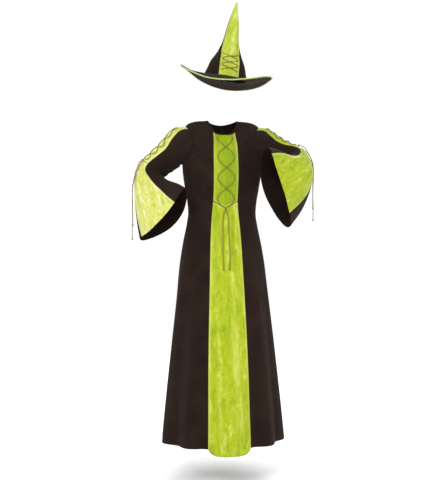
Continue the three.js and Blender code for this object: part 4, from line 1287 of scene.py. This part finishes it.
def binding_object(name):
    """A flat tube along the neck edge, drawn a little to the inside."""
    angles = np.linspace(-np.pi, np.pi, BINDING_STEPS, endpoint=False)
    level = np.full(BINDING_STEPS, NECK + SEAM)
    base = dress_point(angles, level)
    top = dress_point(angles, level + BINDING_HEIGHT)
    out = way_out(dress_point, angles, level + BINDING_HEIGHT / 2, DRESS_STEPS)
    middle = (base + top) / 2
    rise = (top - base) / 2
    vertices = []
    texture = []
    for k in range(BINDING_SIDES):
        turn = 2 * math.pi * k / BINDING_SIDES
        tall = squared(math.sin(turn))
        deep = squared(math.cos(turn))
        vertices.append(middle + rise * tall + out * (BINDING_HALF * deep - BINDING_INWARD))
        down = np.full(BINDING_STEPS, k * BINDING_SIDE_LENGTH)
        texture.append(np.stack([angles * BINDING_RADIUS, down], axis=-1))
    vertices = np.stack(vertices, axis=1)
    faces = []
    for i in range(BINDING_STEPS):
        here = i * BINDING_SIDES
        beside = (i + 1) % BINDING_STEPS * BINDING_SIDES
        for k in range(BINDING_SIDES):
            after = (k + 1) % BINDING_SIDES
            faces.append((here + k, here + after, beside + after, beside + k))
    texture = np.stack(texture, axis=1).reshape(-1, 2)
    return mesh_object(name, vertices.reshape(-1, 3), faces, BLACK, texture)


finished(binding_object("neck_binding_cloth"), "black_cloth", "neck_binding")
print("neck binding of", BINDING_HEIGHT, "mm")

# %% [markdown]
# ## The sleeves
#
# Each sleeve is a black front and back with a lime strip let in along its upper part, where
# the lacing lies, and a lime godet from the elbow to the cuff that opens the bell. The cloth
# gathers in short creases at the crook of the elbow and falls in longer ones down the bell.

# %% Creases of the sleeves
# from turn, from ring, to turn, to ring, out, width
ARM_CREASES = [
    (-0.12, 4.4, 0.1, 4.9, -2.2, 6),
    (-0.16, 5.0, 0.14, 5.3, 2.4, 7),
    (-0.1, 5.6, 0.17, 5.7, -2.2, 7),
    (-0.18, 3.6, 0.02, 4.3, 1.8, 7),
    (0.05, 3.4, 0.2, 4.1, -1.6, 7),
    (0.0, 2.2, 0.2, 2.9, 1.6, 8),
    (-0.08, 2.0, 0.1, 2.4, -1.6, 7),
    (0.1, 1.5, 0.27, 1.8, 1.4, 7),
    (0.22, 2.5, 0.26, 4.6, -1.0, 7),
    (0.1, 5.6, 0.06, 8.8, 2.0, 9),
    (-0.05, 5.9, -0.02, 9.4, -2.2, 10),
    (0.02, 6.4, 0.1, 9.8, 1.8, 9),
    (-0.17, 6.0, -0.14, 9.6, 2.2, 10),
    (0.53, 4.3, 0.66, 4.9, -1.8, 7),
    (0.56, 5.0, 0.7, 5.4, 2.0, 7),
    (0.5, 5.5, 0.62, 5.9, -1.6, 7),
    (0.62, 2.6, 0.7, 3.8, 1.5, 8),
    (0.52, 6.0, 0.5, 9.5, 2.0, 9),
    (0.61, 6.2, 0.6, 9.7, -2.2, 9),
    (0.7, 6.4, 0.69, 9.6, 2.0, 9),
]
GODET_CREASES = [
    (0.3, 5.1, 0.21, 7.4, 1.5, 8),
    (0.4, 5.1, 0.34, 8.0, -1.6, 9),
    (0.45, 5.4, 0.41, 9.2, 1.4, 8),
    (0.26, 6.4, 0.16, 9.6, -1.6, 9),
    (0.34, 7.2, 0.28, 9.9, 1.6, 9),
    (0.24, 5.2, 0.4, 5.7, 1.2, 6),
    (0.2, 7.6, 0.24, 8.6, 1.0, 6),
]
STRIP_CREASES = [
    (0.34, 1.4, 0.5, 1.7, 1.3, 5),
    (0.33, 1.9, 0.46, 2.1, -1.1, 5),
    (0.31, 2.4, 0.47, 2.6, 1.3, 5),
    (0.32, 2.9, 0.45, 3.1, -1.1, 5),
    (0.3, 3.4, 0.47, 3.6, 1.3, 5),
    (0.3, 3.9, 0.45, 4.1, -1.1, 5),
    (0.29, 4.4, 0.46, 4.55, 1.3, 5),
]


# What a turn and a ring come to in millimetres, on the middle of a sleeve
ARM_ROUND = 420
RING_APART = 56


def sleeve_creases(turn, ring, table):
    """Reads a table of creases in turns and rings as millimetres."""
    rows = [
        (a * ARM_ROUND, b * RING_APART, c * ARM_ROUND, d * RING_APART, out, wide)
        for a, b, c, d, out, wide in table
    ]
    return creases(turn * ARM_ROUND, ring * RING_APART, rows)


ARMHOLE_TRIES = 4
ARMHOLE_CLEAR = 0.006
ARMHOLE_FADE = 6


def sleeve_panel(name, start, end, columns, first, last, rows):
    """A grid over part of a sleeve. first is a ring, or None to start at the armhole."""
    table = SLEEVES[name]
    share = np.linspace(0, 1, columns + 1)[None, :]
    down = np.linspace(0, 1, rows + 1)[:, None]

    def turn_at(ring):
        a = start(ring)
        b = end(ring)
        gap_a = SEAM / 2 / turn_length(table, a, ring)
        gap_b = SEAM / 2 / turn_length(table, b, ring)
        return a + gap_a + (b - gap_b - a - gap_a) * share

    if first is None:
        turns, meet, _ = ARMHOLES[name]
        top = np.ones_like(share)
        for _ in range(ARMHOLE_TRIES):
            top = np.interp(turn_at(top), turns, meet)
        top = top + ARMHOLE_CLEAR
    else:
        top = np.full_like(share, first)
    ring = top + (last - top) * down
    turn = turn_at(ring)
    return sleeve_point(table, turn, ring), turn, ring


# %% Sewing the sleeves
ELBOW_CLEAR = 0.003
above = ELBOW_SEAM - ELBOW_CLEAR
below = ELBOW_SEAM + ELBOW_CLEAR
for name, table in SLEEVES.items():
    side = -1 if name == "right" else 1
    front_edge = table["strip_front"]
    back_edge = table["strip_back"]
    bottom = at_angle(UNDERARM)
    top = at_angle(UNDERARM + 1)
    # part, edges, columns, first ring, last ring, rows, end that is sewn, creases
    cloths = [
        ("front", bottom, front_edge, 76, None, CUFF_RING, 170, "", ARM_CREASES),
        ("back", back_edge, top, 52, None, CUFF_RING, 170, "", ARM_CREASES),
        ("strip", front_edge, back_edge, 44, None, above, 100, "bottom", STRIP_CREASES),
        ("godet", front_edge, back_edge, 72, below, CUFF_RING, 110, "top", GODET_CREASES),
    ]
    lime = PALE_LIME if name == "right" else LIME
    for part, start, end, count, first, last, rows, ends, table_of in cloths:
        points, turn, ring = sleeve_panel(name, start, end, count, first, last, rows)
        relief = turned_seams(points, ends, last == CUFF_RING)
        relief += sleeve_creases(turn, ring, table_of)
        if first is None:
            relief *= smooth(0, ARMHOLE_FADE, measured(points)[1])
        cloth = lime if ends else BLACK
        cloth_piece(f"sleeve_{name}_{part}", points, relief, cloth, side, ends=ends)

# %% [markdown]
# ## The hat
#
# The hat is a tall cone with a lime front and black sides, on a wide soft brim that curls up
# at both sides. The brim's edge is finished with pale lime piping, and gold cord is laced
# across the lower part of the lime front, where it pulls the velvet into small puckers.

# %% The hat's form
CROWN_HEIGHT = 341
CROWN_RADIUS = 99
CROWN_ROWS = 135
CROWN_COLUMNS = 64
CROWN_LEAN = 0.7
BRIM_WALL = 2.5
CROWN_SEAT = BRIM_WALL / 2 + SEAM + CROWN_LEAN
BRIM_RADIUS = 205
BRIM_HOLE = 94
BRIM_CURL = 1.3
CROWN = columns_of(
    "up radius lime",
    [
        (0, CROWN_RADIUS, 28),
        (30, 89, 31),
        (66, 77, 36),
        (97, 61, 44),
        (146, 41, 68),
        (175, 35, 76),
        (219, 29, 79),
        (273, 19, 80),
        (CROWN_HEIGHT, 3.4, 80),
    ],
)
BRIM_CUT = -99
brim_edge = curve_of(
    [BRIM_CUT, -57, -30, -3, 20, 48, 81, 100, 117, 140, 170, 205, 227, 261],
    [33, -8, -32, -29, -9, 21, 33, 27, 9, -11, -22, -2, 23, 33],
)
HAT_PITCH = math.radians(3.7)
HAT_ROLL = math.radians(8.2)
hat_turn = np.array(Matrix.Rotation(HAT_PITCH, 3, "X") @ Matrix.Rotation(HAT_ROLL, 3, "Y"))
HAT_PLACE = np.array([15.0, 0.0, 222.0])


def hat_placed(points):
    return points @ hat_turn.T + HAT_PLACE


def crown_point(angle, up):
    radius = CROWN["radius"](up)
    return np.stack(
        [radius * np.sin(angle), -radius * np.cos(angle), up + CROWN_SEAT], axis=-1
    )


def crown_edge(up):
    return np.radians(CROWN["lime"](up))


def crown_panel(start, end):
    share = np.linspace(0, 1, CROWN_COLUMNS + 1)[None, :]
    up = np.linspace(0, CROWN_HEIGHT, CROWN_ROWS)[::-1][:, None] + np.zeros_like(share)
    half = SEAM / 2 / CROWN["radius"](up)
    angle = start(up) + half + (end(up) - start(up) - 2 * half) * share
    return crown_point(angle, up), angle, up


# from degrees, from height, to degrees, to height, out, width
CROWN_CREASES = [
    (-26, 30, 6, 22, 2.2, 4),
    (-8, 42, 28, 36, -2.0, 4),
    (-34, 56, 4, 50, 2.3, 4),
    (-4, 66, 34, 62, 2.1, 4),
    (-36, 80, 8, 74, -2.2, 4),
    (-40, 96, 0, 90, 2.3, 4),
    (-2, 104, 42, 98, -2.2, 4),
    (-60, 118, 20, 112, 2.4, 5),
    (-66, 138, 40, 130, -2.2, 5),
    (-20, 158, 70, 150, 1.2, 5),
    (-60, 190, 10, 172, -0.9, 5),
    (10, 250, -20, 200, 0.8, 4),
    (-90, 110, -150, 122, -1.6, 6),
    (95, 116, 160, 106, -1.6, 6),
    (-80, 130, -170, 138, 1.4, 6),
    (100, 134, 175, 142, 1.4, 6),
    (-70, 30, -100, 90, 1.3, 8),
    (80, 20, 110, 80, -1.3, 8),
    (130, 30, 150, 90, 1.3, 8),
    (-140, 24, -120, 84, -1.3, 8),
]


# %% Sewing the hat
CROWN_DEGREE = 0.9
FOOT_FADE = 14


def hat_cloth(name, start, end, cloth):
    """A panel of the crown. Its creases fade at the foot, and all relief near the tip."""
    points, angle, up = crown_panel(start, end)
    radius = CROWN["radius"](up)
    rows = [
        (a * CROWN_DEGREE, b, c * CROWN_DEGREE, d, out, wide)
        for a, b, c, d, out, wide in CROWN_CREASES
    ]
    relief = creases(np.degrees(angle) * CROWN_DEGREE, up, rows)
    relief *= smooth(0, FOOT_FADE, up) * smooth(3, 33, radius)
    relief += turned_seams(points) * smooth(2, 20, radius)
    cloth_piece(name, hat_placed(points), relief, cloth)


def crown_right_edge(up):
    return -crown_edge(up)


hat_cloth("hat_crown_front", crown_right_edge, crown_edge, HAT_LIME)
hat_cloth("hat_crown_left", crown_edge, LEFT_BACK, BLACK)
hat_cloth("hat_crown_right", RIGHT_BACK, crown_right_edge, BLACK)

# %% The brim and its piping
BRIM_TURNS = np.arange(0, 360, 1.5)
BRIM_RINGS = 46
BRIM_STITCH = 9
BRIM_STITCH_DEPTH = 0.3
BRIM_STITCH_WIDTH = 1.4
PIPING_RADIUS = 3.0
# waves to a round, height, turned by
BRIM_WAVES = [(5, 0.5, 0.6), (11, 0.4, 0)]


def brim_height(angle, distance):
    share = np.maximum(0, (distance - CROWN_RADIUS) / (BRIM_RADIUS - CROWN_RADIUS))
    degrees = (angle - BRIM_CUT) % 360 + BRIM_CUT
    return brim_edge(degrees) * share**BRIM_CURL


def brim_object(name):
    """A ring of stiff cloth with both its faces, and a stitch line near its edge."""
    across = np.linspace(BRIM_HOLE, BRIM_RADIUS, BRIM_RINGS)
    section = [(d, 1) for d in across] + [(d, -1) for d in across[::-1]]
    vertices = []
    texture = []
    for angle in BRIM_TURNS:
        turn = math.radians(angle)
        for distance, face in section:
            waves = sum(out * math.sin(many * turn + by) for many, out, by in BRIM_WAVES)
            waves *= smooth(CROWN_RADIUS + 10, BRIM_RADIUS - 15, distance)
            off = (distance - BRIM_RADIUS + BRIM_STITCH) / BRIM_STITCH_WIDTH
            stitched = BRIM_STITCH_DEPTH * math.exp(-(off**2))
            height = brim_height(angle, distance) + waves
            height += face * (BRIM_WALL / 2 - stitched)
            vertices.append((distance * math.sin(turn), -distance * math.cos(turn), height))
            texture.append((distance * math.sin(turn), distance * math.cos(turn)))
    count = len(section)
    faces = []
    for i in range(len(BRIM_TURNS)):
        beside = ((i + 1) % len(BRIM_TURNS)) * count
        for k in range(count):
            after = (k + 1) % count
            faces.append((i * count + k, beside + k, beside + after, i * count + after))
    placed = hat_placed(np.array(vertices))
    return mesh_object(name, placed, faces, BLACK, np.array(texture))


brim = finished(brim_object("hat_brim_cloth"), "black_cloth", "hat_brim")

piping_distance = BRIM_RADIUS + SEAM + PIPING_RADIUS
edge = np.stack(
    [
        piping_distance * np.sin(np.radians(BRIM_TURNS)),
        -piping_distance * np.cos(np.radians(BRIM_TURNS)),
        brim_height(BRIM_TURNS, BRIM_RADIUS),
    ],
    axis=-1,
)
piping = cord_object("hat_piping_cord", [hat_placed(edge)], PIPING, PIPING_RADIUS, closed=True)
finished(piping, "lime_piping", "hat_piping")
print("brim of", 2 * BRIM_RADIUS, "mm")

# %% The hat's lacing
HAT_LACE_TOP = 103
HAT_LACE_BOTTOM = 22
HAT_LACE_SWING = 34
HAT_LACE_TURNS = 3
HAT_LACE_STEPS = 110
CROWN_STEPS = (0.01, 1)


def hat_place(share, aside):
    up = HAT_LACE_TOP + (HAT_LACE_BOTTOM - HAT_LACE_TOP) * share
    angle = np.arcsin(aside / CROWN["radius"](up))
    out = way_out(crown_point, angle, up, CROWN_STEPS)
    return hat_placed(crown_point(angle, up)), out @ hat_turn.T


laces = strands(hat_place, HAT_LACE_SWING, HAT_LACE_TURNS, HAT_LACE_STEPS)
finished(cord_object("hat_lacing_cord", laces, GOLD), "lace_cord", "hat_lacing")
print("hat lacing from", HAT_LACE_TOP, "to", HAT_LACE_BOTTOM, "mm up the crown")

# %% [markdown]
# ## Floor and light
#
# The costume is shown in a plain white studio. The floor is a wide pale disc under an even
# white sky, so the background is white from every side. Three large soft lights give the
# folds their shape, and the even sky keeps the shadow on the floor faint.

# %% Studio
FLOOR = -1.56
FLOOR_RADIUS = 40
FLOOR_SIDES = 96
SKY_STRENGTH = 1.05


def studio_floor():
    turns = [2 * math.pi * k / FLOOR_SIDES for k in range(FLOOR_SIDES)]
    vertices = [
        (FLOOR_RADIUS * math.cos(t), FLOOR_RADIUS * math.sin(t), FLOOR) for t in turns
    ]
    mesh = bpy.data.meshes.new("studio_floor")
    mesh.from_pydata(vertices, [], [tuple(range(FLOOR_SIDES))])
    material, _, shader = new_material("studio_paper")
    shader.inputs["Base Color"].default_value = (0.96, 0.96, 0.96, 1)
    shader.inputs["Roughness"].default_value = 0.95
    mesh.materials.append(material)
    floor = bpy.data.objects.new("studio_floor", mesh)
    bpy.context.scene.collection.objects.link(floor)


def soft_light(name, place, target, size, watts):
    lamp = bpy.data.lights.new(name, "AREA")
    lamp.shape = "RECTANGLE"
    lamp.size = size
    lamp.size_y = size
    lamp.energy = watts
    made = bpy.data.objects.new(name, lamp)
    made.location = place
    way = Vector(target) - Vector(place)
    made.rotation_euler = way.to_track_quat("-Z", "Y").to_euler()
    bpy.context.scene.collection.objects.link(made)


studio_floor()
soft_light("key", (-1.9, -3.4, 1.6), (0, 0, -0.4), 1.6, 88)
soft_light("fill", (2.4, -3.2, 0.6), (0, 0, -0.5), 2.2, 34)
soft_light("back", (1.2, 3.6, 1.6), (0, 0, -0.5), 1.8, 70)
bpy.context.scene.view_settings.view_transform = "Standard"
world = bpy.data.worlds.new("studio")
world.use_nodes = True
background = world.node_tree.nodes["Background"]
background.inputs["Color"].default_value = (1, 1, 1, 1)
background.inputs["Strength"].default_value = SKY_STRENGTH
bpy.context.scene.world = world
print("lights", len(bpy.data.lights))

# %% [markdown]
# ## Counting the pieces
#
# The finished cloth may stand a little outside the solids it replaces, but no more than a
# few millimetres. The pieces are counted.


print("pieces", len(pieces))
